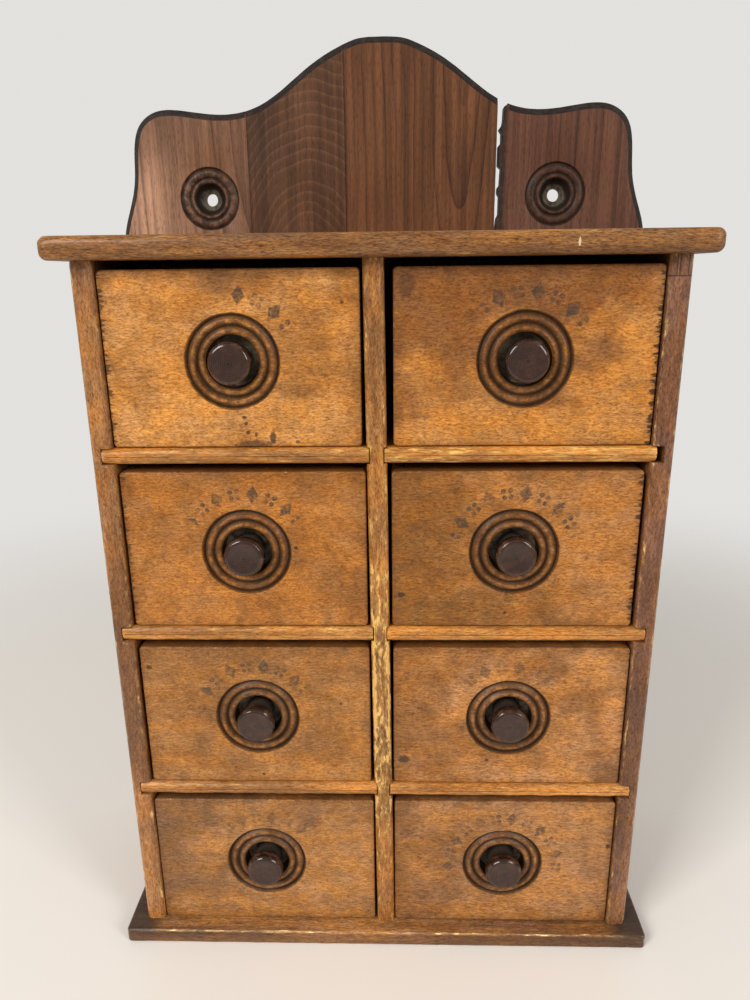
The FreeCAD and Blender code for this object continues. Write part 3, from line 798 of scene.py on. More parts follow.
# %% Geometry tree: worn arrises
def geometry_tree(name, inputs):
    """Make a geometry tree of a function; it ends with real geometry that wears a material."""
    inputs = {"Geometry": "Geometry", **inputs, "Material": "Material"}

    def build(inside):
        def whole(tree, given):
            real = add(tree, "GeometryNodeRealizeInstances", {0: inside(tree, given)})[0]
            wires = {"Geometry": real, "Material": given["Material"]}
            return {"Geometry": add(tree, "GeometryNodeSetMaterial", wires)[0]}

        tree = group(name, inputs, {"Geometry": "Geometry"}, "GeometryNodeTree")(whole)
        tree.is_modifier = True
        return tree

    return build


def store(geometry, name, value, kind="FLOAT"):
    """Keep a value on the points as an attribute that a material can read."""
    wires = {"Geometry": geometry, "Name": name, "Value": value}
    return add(geometry.tree, "GeometryNodeStoreNamedAttribute", wires, data_type=kind, domain="POINT")[0]


@geometry_tree("worn_arrises", {"Depth": 0.3 * mm, "Wave": 9 * mm, "Seed": 0.0, "Turned": 0.0})
def worn_arrises(tree, given):
    normal = add(tree, "GeometryNodeInputNormal")[0]
    place = add(tree, "GeometryNodeInputPosition")[0]
    facing = abs(normal)
    square = maths("MAXIMUM", facing.x, facing.z)
    round_way = maths("LENGTH", point(facing.x, facing.z))
    sideways = add(tree, "ShaderNodeMix", {0: given["Turned"], 2: square, 3: round_way})[0]
    edge = step(maths("MAXIMUM", facing.y, sideways), 0.985, 0.8)
    waves = step(noise(place, given["Wave"], given["Seed"], 3.0), 0.35, 0.75)
    nicks = step(noise(place, 2.5 * mm, given["Seed"], 1.0), 0.64, 0.74, 0.0, 0.8)
    depth = (waves + nicks) * edge * given["Depth"]
    inward = add(tree, "ShaderNodeVectorMath", {0: normal, "Scale": depth * -1.0}, operation="SCALE")[0]
    wires = {"Geometry": given["Geometry"], "Offset": inward}
    moved = add(tree, "GeometryNodeSetPosition", wires)[0]
    return store(moved, "arris", edge)


def apply_tree(item, tree, values):
    """Run a geometry tree over an object and keep the outcome as its own plain mesh."""
    modifier = item.modifiers.new(tree.name, "NODES")
    modifier.node_group = tree
    for socket in tree.interface.items_tree:
        if socket.in_out == "INPUT" and socket.name in values:
            modifier[socket.identifier] = values[socket.name]
    graph = bpy.context.evaluated_depsgraph_get()
    graph.update()
    evaluated = item.evaluated_get(graph)
    mesh = bpy.data.meshes.new_from_object(evaluated, preserve_all_data_layers=True, depsgraph=graph)
    item.modifiers.clear()
    item.data = mesh
    mesh.name = item.name


def show(name, mesh):
    """An object at the origin for a mesh that is already in its place."""
    item = bpy.data.objects.new(name, mesh)
    bpy.context.scene.collection.objects.link(item)
    return item


def stand_in(item, body, node):
    """Say which body an object rides, and hide the node it replaces."""
    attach(item, body)
    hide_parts(node)
    return item


def finish_piece(item, body, node, seed, material, depth, turned=0.0, wave=9.0):
    """Wear an object's arrises, up to a depth in millimetres, and say what it stands for."""
    values = {"Depth": depth * mm, "Wave": wave * mm, "Seed": float(seed), "Turned": turned,
              "Material": material}
    apply_tree(item, worn_arrises, values)
    return stand_in(item, body, node)

# %% [markdown]
# ## Loops and skins
# Boards and turned places are built the same way: a row of loops with equally many points,
# joined by a skin of four-sided faces. A board is a rounded rectangle carried along its
# length, a turned place a circle that changes its radius. Beside every rounding stands a
# holding loop, so that the flat faces keep a flat shading.

# %% Mesh builders
hold = 0.8 * mm


def rounded_rectangle(low, high, radii, cuts=(0, 0, 0, 0), steps=5):
    """Points (u, v) of a rectangle; radii and cuts go round from the corner at low."""
    low, high = np.array(low), np.array(high)
    sides = np.array(((1, 0), (0, 1), (-1, 0), (0, -1)))
    points = []
    for index, (side, radius) in enumerate(zip(sides, radii)):
        inward = side - sides[index - 1]
        middle = np.where(inward > 0, low, high) + inward * radius
        first = math.pi * (1 + index / 2)
        for angle in np.linspace(first, first + math.pi / 2, steps + 1):
            points.append(middle + radius * np.array((math.cos(angle), math.sin(angle))))
        start = points[-1]
        length = (high - low)[index % 2] - radius - radii[(index + 1) % 4]
        for distance in np.linspace(hold, length - hold, cuts[index] + 2):
            points.append(start + side * distance)
    return np.array(points)


def bridge(work, loops):
    """Four-sided faces between each loop of vertices and the next one."""
    for first, second in zip(loops, loops[1:]):
        for index, vert in enumerate(first):
            after = (index + 1) % len(first)
            work.faces.new((vert, first[after], second[after], second[index]))


def skin(name, loops, closed=False):
    """Closed mesh through a row of loops of 3-D points, with caps unless the row itself is closed."""
    work = bmesh.new()
    made = [[work.verts.new(point) for point in loop] for loop in loops]
    if closed:
        bridge(work, made + made[:1])
    else:
        bridge(work, made)
        work.faces.new(made[0][::-1])
        work.faces.new(made[-1])
    return close_mesh(name, work)


def close_mesh(name, work, sharp=38):
    """Merge, turn outwards and smooth a finished bmesh."""
    bmesh.ops.remove_doubles(work, verts=work.verts, dist=0.002 * mm)
    bmesh.ops.dissolve_degenerate(work, edges=work.edges, dist=0.001 * mm)
    bmesh.ops.recalc_face_normals(work, faces=work.faces)
    mesh = bpy.data.meshes.new(name)
    work.to_mesh(mesh)
    work.free()
    mesh.shade_smooth()
    mesh.set_sharp_from_angle(angle=math.radians(sharp))
    return mesh


def stations(low, high, spacing, doubled=()):
    """Places along a board: evenly spaced, with a pair at every doubled place."""
    count = max(2, round((high - low) / spacing))
    even = np.linspace(low, high, count + 1)
    places = [place for place in even if all(abs(place - twin) > 0.4 * mm for twin in doubled)]
    return sorted(places + [twin + side * 0.003 * mm for twin in doubled for side in (-1, 1)])


print("loop points of a plain board", len(rounded_rectangle((0, 0), (0.1, 0.01), (0.002,) * 4)))

# %% [markdown]
# ## Case boards
# The sides and the divider were planed from thin boards and grooved across for the shelves.
# They are carried upwards as sections, and where a shelf is housed the section is narrower
# by the depth of the housing. The divider leans a little, so its sections move sideways as
# they rise. The base and top boards are carried through their thickness instead, because
# there the outline shows: rounded front corners and rounded ends.

# %% Sides and divider
shelf_bands = {(hand, row): tuple(corner.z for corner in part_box(f"shelf_{hand}_{row}"))
               for hand in hands for row in (1, 2, 3)}
divider_thickness = 8.8 * mm
side_housing = 5.2 * mm
divider_housing = 1.4 * mm
divider_foot, divider_head = 1.1 * mm, -2.0 * mm
square = 0.3 * mm


def in_band(hand, z):
    """The row whose shelf is housed at a height, or none."""
    for row in (1, 2, 3):
        low, high = shelf_bands[(hand, row)]
        if low < z < high:
            return row
    return None


def case_piece(name, loops, seed, depth=0.35, kind="board"):
    """A piece of the case through a row of loops."""
    item = show(f"{name}_{kind}", skin(name, loops))
    return finish_piece(item, "case", name, seed, case_finishes[name], depth)


def carried(name, hand, section_at):
    """Loops of a board carried up through its sections, stepping at every shelf of one hand."""
    low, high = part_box(name)
    edges = [edge for row in (3, 2, 1) for edge in shelf_bands[(hand, row)]]
    loops = []
    for z in stations(low.z, high.z, 2 * mm, edges):
        left, right, front = section_at(z, in_band(hand, z), low, high)
        section = rounded_rectangle((left, low.y), (right, high.y), (*front, square, square))
        loops.append([(x, y, z) for x, y in section])
    return loops


def make_side(hand):
    def section_at(z, row, low, high):
        """Left, right and the radii of the front arrises; sharp and narrower in a housing."""
        inset = side_housing if row else 0.0
        inner = square if row else 2.2 * mm
        if hand == "left":
            return low.x, high.x - inset, (2.2 * mm, inner)
        return low.x + inset, high.x, (inner, 2.2 * mm)

    name = f"{hand}_side"
    return case_piece(name, carried(name, hand, section_at), 1 + (hand == "right"))


def make_divider():
    def section_at(z, row, low, high):
        """The divider leans, and keeps its place through the depth of a housing."""
        height = sum(shelf_bands[("left", row)]) / 2 if row else z
        share = (height - low.z) / (high.z - low.z)
        middle = divider_foot + (divider_head - divider_foot) * share
        half = divider_thickness / 2 - (divider_housing if row else 0.0)
        front = 1.1 * mm if row else 2.5 * mm
        return middle - half, middle + half, (front, front)

    name = "centre_divider"
    return case_piece(name, carried(name, "left", section_at), 3, 0.5)


case_pieces = [make_side("left"), make_side("right"), make_divider()]
print([(item.name, len(item.data.polygons)) for item in case_pieces])

# %% Shelves, base board and top board
def make_shelf(hand, row):
    name = f"shelf_{hand}_{row}"
    low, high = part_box(name)
    radii = (2.9 * mm, 0.2 * mm, 0.2 * mm, 2.9 * mm)
    section = rounded_rectangle((low.y, low.z), (high.y, high.z), radii, steps=6)
    loops = [[(x, y, z) for y, z in section] for x in stations(low.x, high.x, 1.5 * mm)]
    return case_piece(name, loops, 10 + 2 * row + (hand == "left"), 0.5)


def make_board(name, edge, corner, seed):
    """Board carried up through its thickness; its outline shrinks along a round edge."""
    low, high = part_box(name)
    cuts = (int((high.x - low.x) / (1.6 * mm)), 40, 40, 40)
    angles = np.linspace(0, math.pi / 2, 7)
    rounding = [(edge * (1 - math.sin(angle)), edge * (1 - math.cos(angle))) for angle in angles]
    levels = [(low.z, edge + hold)]
    levels += [(low.z + rise, inset) for rise, inset in rounding[::-1]]
    levels += [(high.z - rise, inset) for rise, inset in rounding]
    levels.append((high.z, edge + hold))
    loops = []
    for z, inset in levels:
        front = max(corner - inset, square)
        radii = (front, front, 0.1 * mm, 0.1 * mm)
        near, far = (low.x + inset, low.y + inset), (high.x - inset, high.y)
        loops.append([(x, y, z) for x, y in rounded_rectangle(near, far, radii, cuts)])
    return case_piece(name, loops, seed, kind="piece")


case_pieces += [make_shelf(hand, row) for hand in hands for row in (1, 2, 3)]
case_pieces.append(make_board("base_board", 1.2 * mm, 2.2 * mm, 20))
case_pieces.append(make_board("top_board", 3.0 * mm, 4.5 * mm, 21))
print("case pieces", len(case_pieces))

# %% [markdown]
# ## Turned outlines
# The rings in the fronts and the rosettes in the crest were cut by the same kind of tool: a
# pointed edge that leaves grooves, and a hollow one that leaves round beads between them. The
# outline is a list of radii and depths from the rim inwards.

# %% Turned outlines
def recess_outline(radius, grooves, groove_depth, beads, bead_drop):
    """Radii and depths from a rim to the last bead; lengths in metres."""
    points = [(radius + 0.3 * mm, 0.0), (radius + 0.08 * mm, 0.04 * mm), (radius - 0.08 * mm, 0.16 * mm)]
    start = radius
    for groove, bead in zip(grooves, beads):
        valley = start - groove / 2
        points += [(valley + 0.1 * mm, groove_depth - 0.1 * mm), (valley - 0.1 * mm, groove_depth - 0.1 * mm)]
        rise = groove_depth / 2 - bead_drop
        half = bead / 2
        bend = (half * half + rise * rise) / (2 * rise)
        middle = start - groove - half
        for share in np.linspace(1, -1, 9):
            away = half * share
            height = math.sqrt(bend * bend - away * away) - (bend - rise)
            points.append((middle + away, groove_depth / 2 - height))
        start = middle - half
    return points


def turned_point(centre, angle, radius, depth):
    """A point at a radius and a depth from a middle; the angle goes clockwise from the top."""
    across, up = radius * math.sin(angle), radius * math.cos(angle)
    return (centre.x + across, centre.y + depth, centre.z + up)


def circle_loop(angles, radius, depth, centre):
    return [turned_point(centre, angle, radius, depth) for angle in angles]


ring_outline = recess_outline(
    ring_radius, (2.0 * mm, 1.4 * mm), 1.8 * mm, (2.7 * mm, 2.8 * mm), 0.2 * mm)
rosette_outline = recess_outline(
    rosette_radius, (1.5 * mm, 0.9 * mm), 1.2 * mm, (3.2 * mm, 1.9 * mm), 0.2 * mm)
print("outline points", len(ring_outline), "inner radius in mm", round(ring_outline[-1][0] / mm, 2))

# %% [markdown]
# ## Drawer fronts
# A front is one skin all the way round. It starts at the hole for the knob's tenon, runs up
# the pocket and over the beads to the rim, changes from a circle to a rectangle across the
# face, turns over the arris, steps in for the laps of the sides, and comes back over the rear
# to the hole. The change of shape uses rays from the ring's middle, closer at the corners.

# %% Drawer fronts
pocket_depth = 8.5 * mm
front_depth = 14.5 * mm
lap_depth = 7.5 * mm
lap_width = 5.5 * mm
tenon_hole = 3.05 * mm
wall_foot = 10.6 * mm
front_corner = 1.8 * mm
front_arris = 0.9 * mm


def ray_length(angle, limits, corner):
    """How far a ray runs from the middle to a rounded rectangle (left, right, down, up)."""
    left, right, down, up = limits
    across, rise = math.sin(angle), math.cos(angle)
    wide = right if across > 0 else left
    tall = up if rise > 0 else down
    length = min(wide / max(abs(across), 1e-9), tall / max(abs(rise), 1e-9))
    right_of, above = wide - corner, tall - corner
    if length * abs(across) > right_of and length * abs(rise) > above:
        along = right_of * abs(across) + above * abs(rise)
        across_corner = along * along - right_of ** 2 - above ** 2 + corner * corner
        length = along + math.sqrt(max(across_corner, 0.0))
    return length


def ray_angles(limits, corner):
    """Even angles and a cluster round each corner."""
    angles = set(np.linspace(0, math.tau, 200, endpoint=False))
    left, right, down, up = limits
    for side, wide in ((-1, left), (1, right)):
        for upward, tall in ((-1, down), (1, up)):
            for turn in np.linspace(-0.25, math.pi / 2 + 0.25, 11):
                x = side * (wide - corner + corner * math.cos(turn))
                z = upward * (tall - corner + corner * math.sin(turn))
                angles.add(math.atan2(x, z) % math.tau)
    kept = []
    for angle in sorted(angles):
        if not kept or angle - kept[-1] > 0.0008:
            kept.append(angle)
    return kept


def make_front(hand, row):
    name = f"drawer_{hand}_{row}"
    low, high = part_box(name + "_front")
    centre = ring_centre(name)
    limits = (centre.x - low.x, high.x - centre.x, centre.z - low.z, high.z - centre.z)
    angles = ray_angles(limits, front_corner)

    def edge_loop(inset, depth, narrower=0.0, blend=1.0):
        """Loop of the outline, or part of the way to it from the rim."""
        left, right, down, up = (limit - inset for limit in limits)
        near = (left - narrower, right - narrower, down, up)
        corner = square if narrower else max(front_corner - inset, square)
        start = ring_radius + 0.3 * mm
        lengths = [start + blend * (ray_length(angle, near, corner) - start) for angle in angles]
        return [turned_point(centre, angle, length, depth) for angle, length in zip(angles, lengths)]

    rings = [(tenon_hole, front_depth), (tenon_hole, pocket_depth)]
    rings += [(radius * mm, pocket_depth) for radius in (5, 8, 10.3)]
    for share in (0.03, 0.35, 0.7, 0.97):
        radius = wall_foot + (ring_outline[-1][0] - wall_foot) * share
        rings.append((radius, pocket_depth + (0.9 * mm - pocket_depth) * share))
    loops = [circle_loop(angles, *ring, centre) for ring in rings + ring_outline[::-1]]
    held = front_arris + hold
    loops += [edge_loop(held, 0.0, blend=blend) for blend in np.linspace(0.06, 1, 9)]
    for turn in np.linspace(0, math.pi / 2, 5):
        rounding = (front_arris * (1 - math.sin(turn)), front_arris * (1 - math.cos(turn)))
        loops.append(edge_loop(*rounding))
    loops += [edge_loop(0.0, depth) for depth in (held, 4 * mm, lap_depth)]
    loops += [edge_loop(0.0, depth, lap_width) for depth in (lap_depth, front_depth)]
    item = show(name + "_face", skin(name, loops, closed=True))
    seed = 40 + 2 * row + (hand == "left")
    return finish_piece(item, name, name + "_front", seed,
                        front_finishes[name], 0.3, 1.0, 7.0)


front_pieces = [make_front(hand, row) for hand in hands for row in rows]
print("faces of one front", len(front_pieces[0].data.polygons))

# %% [markdown]
# ## Knobs from a lathe tree
# A knob is one outline turned about an axis. The tree takes the outline as a chain of points,
# softens its corners like a worn knob, and lays a grid round the axis: the grid's index says
# which point of the outline and which angle a vertex takes. A little noise with the angle
# makes each knob slightly out of round, as hand turning does. It also stores radius and depth
# for the finish, since the tool marks and the dust follow those.

# %% Geometry tree: lathe
@geometry_tree("lathe", {"Segments": 72, "Softening": 0.35 * mm, "Chatter": 0.12 * mm, "Seed": 0.0})
def lathe(tree, given):
    curve = add(tree, "GeometryNodeMeshToCurve", {0: given["Geometry"]})[0]
    wires = {"Curve": curve, "Radius": given["Softening"], "Count": 3}
    soft = add(tree, "GeometryNodeFilletCurve", wires, mode="POLY")[0]
    count = add(tree, "GeometryNodeAttributeDomainSize", {0: soft}, component="CURVE")["Point Count"]
    wires = {"Vertices X": given["Segments"] + 1.0, "Vertices Y": count}
    grid = add(tree, "GeometryNodeMeshGrid", wires)[0]
    index = add(tree, "GeometryNodeInputIndex")[0]
    turn = maths("FLOOR", (index + 0.5) / count)
    angle = turn / given["Segments"] * math.tau
    place = add(tree, "GeometryNodeInputPosition")[0]
    wires = {"Geometry": soft, "Value": place, "Index": maths("FLOORED_MODULO", index, count)}
    outline = add(tree, "GeometryNodeSampleIndex", wires, data_type="FLOAT_VECTOR", domain="POINT")[0]
    across, up = maths("SINE", angle), maths("COSINE", angle)
    uneven = noise(point(across, outline.y * 90.0, up), 1 / 1.3, given["Seed"])
    radius = maths("MAXIMUM", outline.x - uneven * given["Chatter"], 0.0)
    wires = {"Geometry": grid, "Position": point(radius * across, outline.y, radius * up)}
    placed = add(tree, "GeometryNodeSetPosition", wires)[0]
    wires = {"Geometry": store(placed, "turned", outline, "FLOAT_VECTOR"), "Distance": 0.004 * mm}
    return add(tree, "GeometryNodeMergeByDistance", wires)[0]

# %% The eight knobs
def arc_points(start, middle, end, count):
    """Points on the circle through three places, both ends included."""
    (ax, ay), (bx, by), (cx, cy) = start, middle, end
    double = 2 * (ax * (by - cy) + bx * (cy - ay) + cx * (ay - by))
    squares = [x * x + y * y for x, y in (start, middle, end)]
    ux = (squares[0] * (by - cy) + squares[1] * (cy - ay) + squares[2] * (ay - by)) / double
    uy = (squares[0] * (cx - bx) + squares[1] * (ax - cx) + squares[2] * (bx - ax)) / double
    first = math.atan2(ay - uy, ax - ux)
    sweep = (math.atan2(cy - uy, cx - ux) - first + math.pi) % math.tau - math.pi
    radius = math.hypot(ax - ux, ay - uy)
    turns = [first + sweep * share for share in np.linspace(0, 1, count)]
    return [(ux + radius * math.cos(turn), uy + radius * math.sin(turn)) for turn in turns]


def knob_outline():
    """Radii and heights of a knob in metres, from the middle of its face to its tenon."""
    rim, widest, waist, foot, tenon = 7.0, 9.0, 6.1, 6.8, 3.0
    rounding, under, floor, end = 2.0, 5.8, 16.5, 21.5
    bulge = rounding * (1 - math.cos(math.pi / 4))
    points = arc_points((0.0, 0.5), (rim / 2, 0.375), (rim, 0.0), 8)
    points += arc_points((rim, 0.0), (widest - bulge, bulge), (widest, rounding), 8)[1:]
    points.append((widest, under - 1.0))
    points += arc_points((foot, under + 1.0), (waist, (under + floor) / 2), (foot, floor - 2.0), 8)
    points += [(foot, floor), (tenon, floor), (tenon, end), (0.0, end)]
    return [(radius * mm, height * mm) for radius, height in points]


def make_knob(hand, row):
    name = f"drawer_{hand}_{row}"
    centre = ring_centre(name)
    centre.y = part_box(name + "_knob")[0].y
    outline = knob_outline()
    chain = bpy.data.meshes.new(name + "_knob_outline")
    edges = [(index, index + 1) for index in range(len(outline) - 1)]
    chain.from_pydata([(radius, height, 0.0) for radius, height in outline], edges, [])
    item = show(name + "_handle", chain)
    seed = 7.0 * row + 3.0 * (hand == "left")
    values = {"Chatter": 0.14 * mm, "Seed": seed,
              "Material": knob_finish(2 * row + (hand == "left"))}
    apply_tree(item, lathe, values)
    mesh = item.data
    mesh.transform(Matrix.Translation(centre))
    work = bmesh.new()
    work.from_mesh(mesh)
    bmesh.ops.recalc_face_normals(work, faces=work.faces)
    work.to_mesh(mesh)
    work.free()
    mesh.shade_smooth()
    mesh.set_sharp_from_angle(angle=math.radians(50))
    return stand_in(item, name, name + "_knob")


knobs = [make_knob(hand, row) for hand in hands for row in rows]
print("faces of one knob", len(knobs[0].data.polygons))

# %% [markdown]
# ## Crest and back
# The back is four boards glued side by side, sawn to the crest's outline after gluing. The
# outline is read from the rear face of each packed board, so it follows the frame exactly,
# open joint included. Each outline is thinned to even steps, then a skin goes from the rear
# over the outer edge to the chamfer. A rosette is turned in from the front down to its hanging
# hole, and both faces are filled round it. The chamfer was painted nearly black, which is kept
# as an attribute.

# %% Outlines of the back boards
def sides_of(loop):
    """Each point of a closed loop with the next one."""
    return zip(loop, loop[1:] + loop[:1])


def rear_outline(name):
    """Outer loop (x, z) of a packed board's rear face, anticlockwise seen from the front."""
    work = bmesh.new()
    work.from_mesh(frame["nodes"][name].data)
    work.transform(frame["nodes"][name].matrix_world)
    bmesh.ops.remove_doubles(work, verts=work.verts, dist=0.001 * mm)
    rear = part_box(name)[1].y
    on_rear = [face for face in work.faces
               if all(abs(vert.co.y - rear) < 0.01 * mm for vert in face.verts)]
    known = set(on_rear)
    after = {}
    for face in on_rear:
        for loop in face.loops:
            if any(other not in known for other in loop.edge.link_faces):
                after[loop.vert.index] = loop.link_loop_next.vert.index
    work.verts.ensure_lookup_table()
    loops = []
    while after:
        start, current = after.popitem()
        chain = [start]
        while current != start:
            chain.append(current)
            current = after.pop(current)
        loops.append([(work.verts[index].co.x, work.verts[index].co.z) for index in chain])
    work.free()
    longest = max(loops, key=lambda loop: sum(math.dist(a, b) for a, b in sides_of(loop)))
    area = sum(a[0] * b[1] - b[0] * a[1] for a, b in sides_of(longest))
    return longest if area > 0 else longest[::-1]


def even_steps(loop, spacing):
    """Keep the corners of a loop and cut its sides into even steps."""
    points = np.array(loop)
    sides = np.roll(points, -1, axis=0) - points
    heading = np.arctan2(sides[:, 1], sides[:, 0])
    bend = [abs(math.remainder(turn, math.tau)) for turn in heading - np.roll(heading, 1)]
    corners = [index for index in range(len(points)) if bend[index] > math.radians(12)]
    result = []
    for first, last in zip(corners, corners[1:] + [corners[0] + len(points)]):
        chain = points[np.arange(first, last + 1) % len(points)]
        lengths = np.linalg.norm(np.diff(chain, axis=0), axis=1)
        travelled = np.concatenate(([0], np.cumsum(lengths)))
        count = max(1, math.ceil(travelled[-1] / spacing))
        for place in np.linspace(0, travelled[-1], count + 1)[:-1]:
            result.append([np.interp(place, travelled, chain[:, axis]) for axis in (0, 1)])
    return np.array(result)


outlines = {name: even_steps(rear_outline(name), 2.2 * mm) for name in stave_names}
print({name: len(outline) for name, outline in outlines.items()})

# %% The four back boards
seam_places = (-67.0 * mm, -18.0 * mm, 57.5 * mm)
visual_rear = 0.25 * mm
back_edge = 0.25 * mm
hole_radius = 3.0 * mm
joint_reach, crack_reach = 0.3, 6.5
rosette_well = ((7.0, 2.8), (4.7, 4.95), (4.6, 5.0), (3.0, 5.0))


def inset_loop(points, distances):
    """Move each side of a loop inwards by its own distance."""
    after = np.roll(points, -1, axis=0) - points
    along = after / np.linalg.norm(after, axis=1)[:, None]
    inward = np.stack((-along[:, 1], along[:, 0]), axis=1)
    moved = []
    for index, point in enumerate(points):
        (a, b), (c, d) = inward[index - 1], inward[index]
        before, behind = distances[index - 1], distances[index]
        turn = a * d - b * c
        if abs(turn) < 0.12:
            shift = np.array((a + c, b + d)) * (before + behind) / 4
        else:
            shift = np.array((before * d - behind * b, behind * a - before * c)) / turn
        moved.append(point + shift)
    return np.array(moved)


def side_chamfers(number, points):
    """Width of the chamfer on each side of an outline, and how far each side is painted."""
    joints = seam_places[max(number - 1, 0):number + 1]
    widths, painted = [], []
    for first, second in zip(points, np.roll(points, -1, axis=0)):
        (x, z), run = (first + second) / 2, second - first
        upright = abs(run[0]) < 0.35 * abs(run[1])
        near = min(abs(x - joint) for joint in joints) / mm
        high = (z - top_of_board) / mm
        reach = crack_reach if number == 3 and high > 0 else joint_reach
        by_joint = near < reach and (upright or near < 5.2)
        if not by_joint and high > 0.2:
            widths.append(np.interp(high, (0, 40, 62, 90), (1.6, 1.6, 2.3, 2.4)) * mm)
            painted.append(1.0)
        else:
            widths.append(back_edge)
            painted.append(0.9 if number == 3 and by_joint and high > 12 else 0.0)
    return np.array(widths), np.array(painted)


def make_stave(number, name):
    low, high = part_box(name)
    points = outlines[name]
    widths, painted = side_chamfers(number, points)
    wide = np.maximum(widths, np.roll(widths, 1))
    paint = np.maximum(painted, np.roll(painted, 1))
    rear = high.y - visual_rear
    held = widths + np.where(painted > 0.95, 1.4, 0.4) * mm
    ones = np.ones(len(points))
    levels = [(inset_loop(points, ones * back_edge), ones * rear, 0.0),
              (points, ones * (rear - back_edge), 1.0), (points, low.y + wide, 1.0),
              (inset_loop(points, widths), ones * low.y, 1.0),
              (inset_loop(points, held), ones * low.y, 0.0)]
    work = bmesh.new()
    layer = work.verts.layers.float.new("paint")
    made = []
    for outline, depths, share in levels:
        made.append([work.verts.new((x, y, z)) for (x, z), y in zip(outline, depths)])
        for vert, amount in zip(made[-1], paint):
            vert[layer] = amount * share
    hole_rims = []
    if name in rosette_places:
        centre = rosette_places[name] + Vector((0, low.y, 0))
        angles = np.linspace(0, math.tau, 96, endpoint=False)
        rings = rosette_outline + [(radius * mm, depth * mm) for radius, depth in rosette_well]
        rings.append((hole_radius, rear - low.y))
        turned = [[work.verts.new(point) for point in circle_loop(angles, *ring, centre)]
                  for ring in rings]
        bridge(work, turned)
        hole_rims = [turned[-1], turned[0]]
    bridge(work, made)
    for side, outer in enumerate((made[0], made[-1])):
        rims = [outer] + hole_rims[side:side + 1]
        edges = [work.edges.get(pair) for rim in rims for pair in sides_of(rim)]
        normal = (0, 1 - 2 * side, 0)
        bmesh.ops.triangle_fill(work, use_beauty=True, edges=edges, normal=normal)
    item = show(name + "_board", close_mesh(name, work, 30))
    return finish_piece(item, "case", name, 60 + number, stave_finishes[name],
                        0.3, 1.0, 8.0)


staves = [make_stave(number, name) for number, name in enumerate(stave_names)]
print({item.name: len(item.data.polygons) for item in staves})

# %% [markdown]
# ## Nails
# The case is nailed together through the top, the base and the back. All nails are one small
# shape that is set on points: each point carries the direction in which its nail looks.

# %% Geometry tree: nails
@geometry_tree("nails", {"Head radius": 1.7 * mm, "Shank radius": 0.8 * mm, "Length": 23.5 * mm})
def nails(tree, given):
    wires = {"Segments": 16, "Rings": 8, "Radius": given["Head radius"]}
    ball = add(tree, "GeometryNodeMeshUVSphere", wires)["Mesh"]
    wires = {"Geometry": ball, "Translation": (0, 0, -0.5 * mm), "Scale": (0.97, 0.97, 0.25)}
    head = add(tree, "GeometryNodeTransform", wires)[0]
    wires = {"Vertices": 10, "Radius": given["Shank radius"], "Depth": given["Length"]}
    rod = add(tree, "GeometryNodeMeshCylinder", wires)["Mesh"]
    down = point(z=(given["Length"] + 1.0 * mm) * -0.5)
    shank = add(tree, "GeometryNodeTransform", {"Geometry": rod, "Translation": down})[0]
    both = add(tree, "GeometryNodeJoinGeometry")
    for part in (head, shank):
        connect(part, both.node.inputs[0])
    out = add(tree, "GeometryNodeInputNamedAttribute", {"Name": "out"}, data_type="FLOAT_VECTOR")[0]
    facing = add(tree, "FunctionNodeAlignRotationToVector", {"Vector": out}, axis="Z")[0]
    wires = {"Points": given["Geometry"], "Instance": both[0], "Rotation": facing}
    return add(tree, "GeometryNodeInstanceOnPoints", wires)[0]

# %% Nails of the case
def place_nails(name, places, out):
    """Nails with their heads' outer faces on the given points, as one piece."""
    mesh = bpy.data.meshes.new(name + "_points")
    mesh.from_pydata(places, [], [])
    facing = mesh.attributes.new("out", "FLOAT_VECTOR", "POINT")
    for entry in facing.data:
        entry.vector = out
    item = show(name + "_iron", mesh)
    apply_tree(item, nails, {"Material": iron})
    stand_in(item, "case", name)
    print(name, len(places))


side_line = 120.3 * mm
nail_rows = (-29.75 * mm, 28.25 * mm)
half_bay = 38.75 * mm
rear_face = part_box("back_stave_2")[1].y
base_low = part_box("base_board")[0].z
rails = [sum(corner.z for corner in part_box("top_board")) / 2]
rails += [sum(shelf_bands[("left", row)]) / 2 for row in (1, 2, 3)]
bays = [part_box(f"drawer_left_{row}_front")[0].z - 0.3 * mm + half_bay for row in rows]
stave_middles = [(left + right) / 2 for left, right in zip(seam_places, seam_places[1:])]
back_places = [(x, rear_face, z) for z in bays for x in (-side_line, side_line)]
back_places += [(x, rear_face, z) for z in rails for x in stave_middles]
top_lines, base_lines = ((-side_line, middle, side_line) for middle in (divider_head, divider_foot))
place_nails("top_nails", [(x, y, top_of_board) for y in nail_rows for x in top_lines], (0, 0, 1))
place_nails("base_nails", [(x, y, base_low) for y in nail_rows for x in base_lines], (0, 0, -1))
place_nails("back_nails", back_places, (0, 1, 0))

# %% [markdown]
# ## Drawer boxes
# The plain boards of the drawer boxes are square and flat, and are seen only when a drawer is
# pulled out. They are shown as they come from the frame, with the bare wood finish.

# %% Drawer boxes
box_finishes = {"sides": box_sides, "back": box_across, "bottom": box_across}
for hand in hands:
    for row in rows:
        for part, finish in box_finishes.items():
            materials = frame["nodes"][f"drawer_{hand}_{row}_{part}"].data.materials
            materials.clear()
            materials.append(finish)
print("kinds of box boards", len(box_finishes))

# %% [markdown]
# ## Floor, light and camera
# The cabinet stands on a pale floor that fades into a pale wall. Daylight comes from windows
# in front, one on each side, so the knobs show two highlights and the case throws only soft
# shadows. The level is kept near one, so that a colour renders about as it is written.

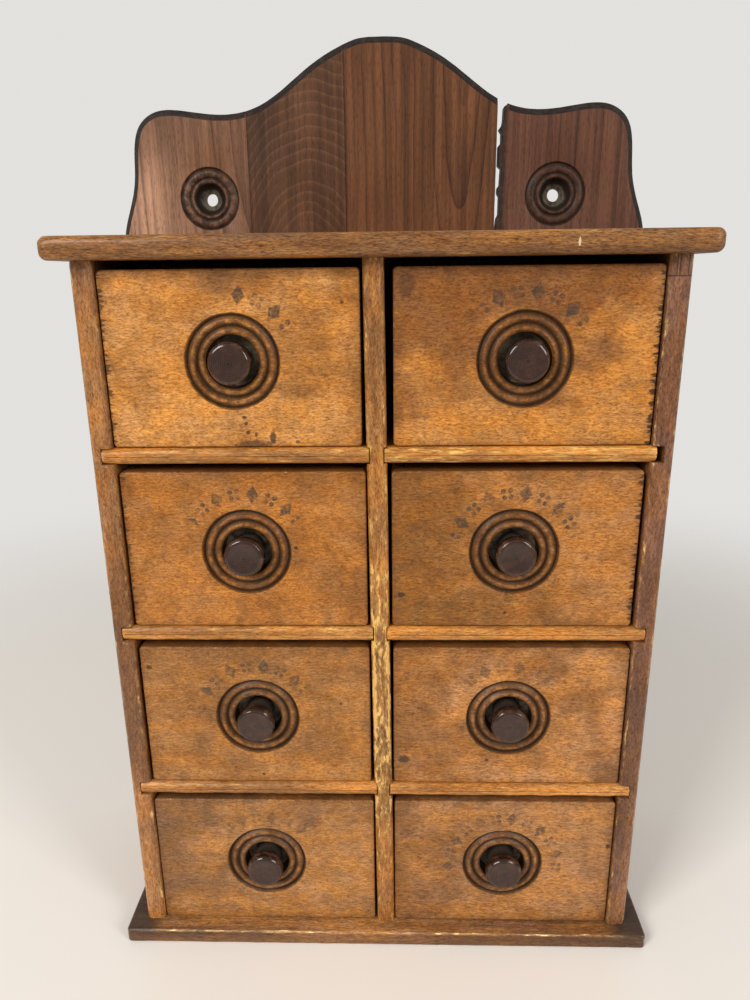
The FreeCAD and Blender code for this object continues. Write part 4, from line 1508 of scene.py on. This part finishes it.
# %% Floor and surroundings
wall_colour = (0.77, 0.755, 0.735, 1)
floor_mesh = bpy.data.meshes.new("floor")
floor_mesh.from_pydata([(-3, -1.5, 0), (3, -1.5, 0), (3, 3, 0), (-3, 3, 0)], [], [(0, 1, 2, 3)])
floor = show("floor", floor_mesh)
material, shader, place = new_finish("floor_paint", 0.6)
shader.inputs["Base Color"].default_value = (0.95, 0.91, 0.85, 1)
connect(step(maths("LENGTH", place), 0.35, 0.9, 1.0, 0.0), shader.inputs["Alpha"])
floor_mesh.materials.append(material)

world = bpy.data.worlds.new("room")
bpy.context.scene.world = world
world.use_nodes = True
tree = world.node_tree
tree.nodes.clear()
seen = add(tree, "ShaderNodeLightPath")
room = add(tree, "ShaderNodeBackground", {"Color": (1.0, 0.985, 0.96, 1), "Strength": 0.45})[0]
wall = add(tree, "ShaderNodeBackground", {"Color": wall_colour, "Strength": 1.0})[0]
shown = add(tree, "ShaderNodeMixShader", {0: seen["Is Camera Ray"], 1: room, 2: wall})[0]
add(tree, "ShaderNodeOutputWorld", {"Surface": shown})


def window(name, place, size, power, colour):
    """Area light that looks at the middle of the cabinet."""
    light = bpy.data.lights.new(name, "AREA")
    light.shape = "RECTANGLE"
    light.size, light.size_y = size
    light.energy = power
    light.color = colour
    item = bpy.data.objects.new(name, light)
    item.location = place
    item.rotation_euler = (cabinet_middle - item.location).to_track_quat("-Z", "Y").to_euler()
    bpy.context.scene.collection.objects.link(item)


cabinet_middle = Vector((0, 0, 0.2))
window("window_left", (-1.1, -1.3, 1.25), (0.7, 0.9), 24.5, (1.0, 0.98, 0.95))
window("window_right", (1.2, -1.1, 0.9), (0.5, 0.8), 11.5, (1.0, 0.97, 0.93))

# %% Camera
lens = bpy.data.cameras.new("camera")
lens.sensor_width = 36
lens.lens = 26.934
lens.clip_start = 0.01
camera = bpy.data.objects.new("camera", lens)
pose = Matrix.Translation((7.10 * mm, -360.01 * mm, 332.54 * mm))
for angle, axis in ((0.02965, "Z"), (-0.29136, "X"), (0.01151, "Y"), (math.pi / 2, "X")):
    pose = pose @ Matrix.Rotation(angle, 4, axis)
camera.matrix_world = pose
bpy.context.scene.collection.objects.link(camera)
bpy.context.scene.camera = camera
bpy.context.scene.view_settings.view_transform = "Standard"
print("camera at", [round(value, 4) for value in camera.location])
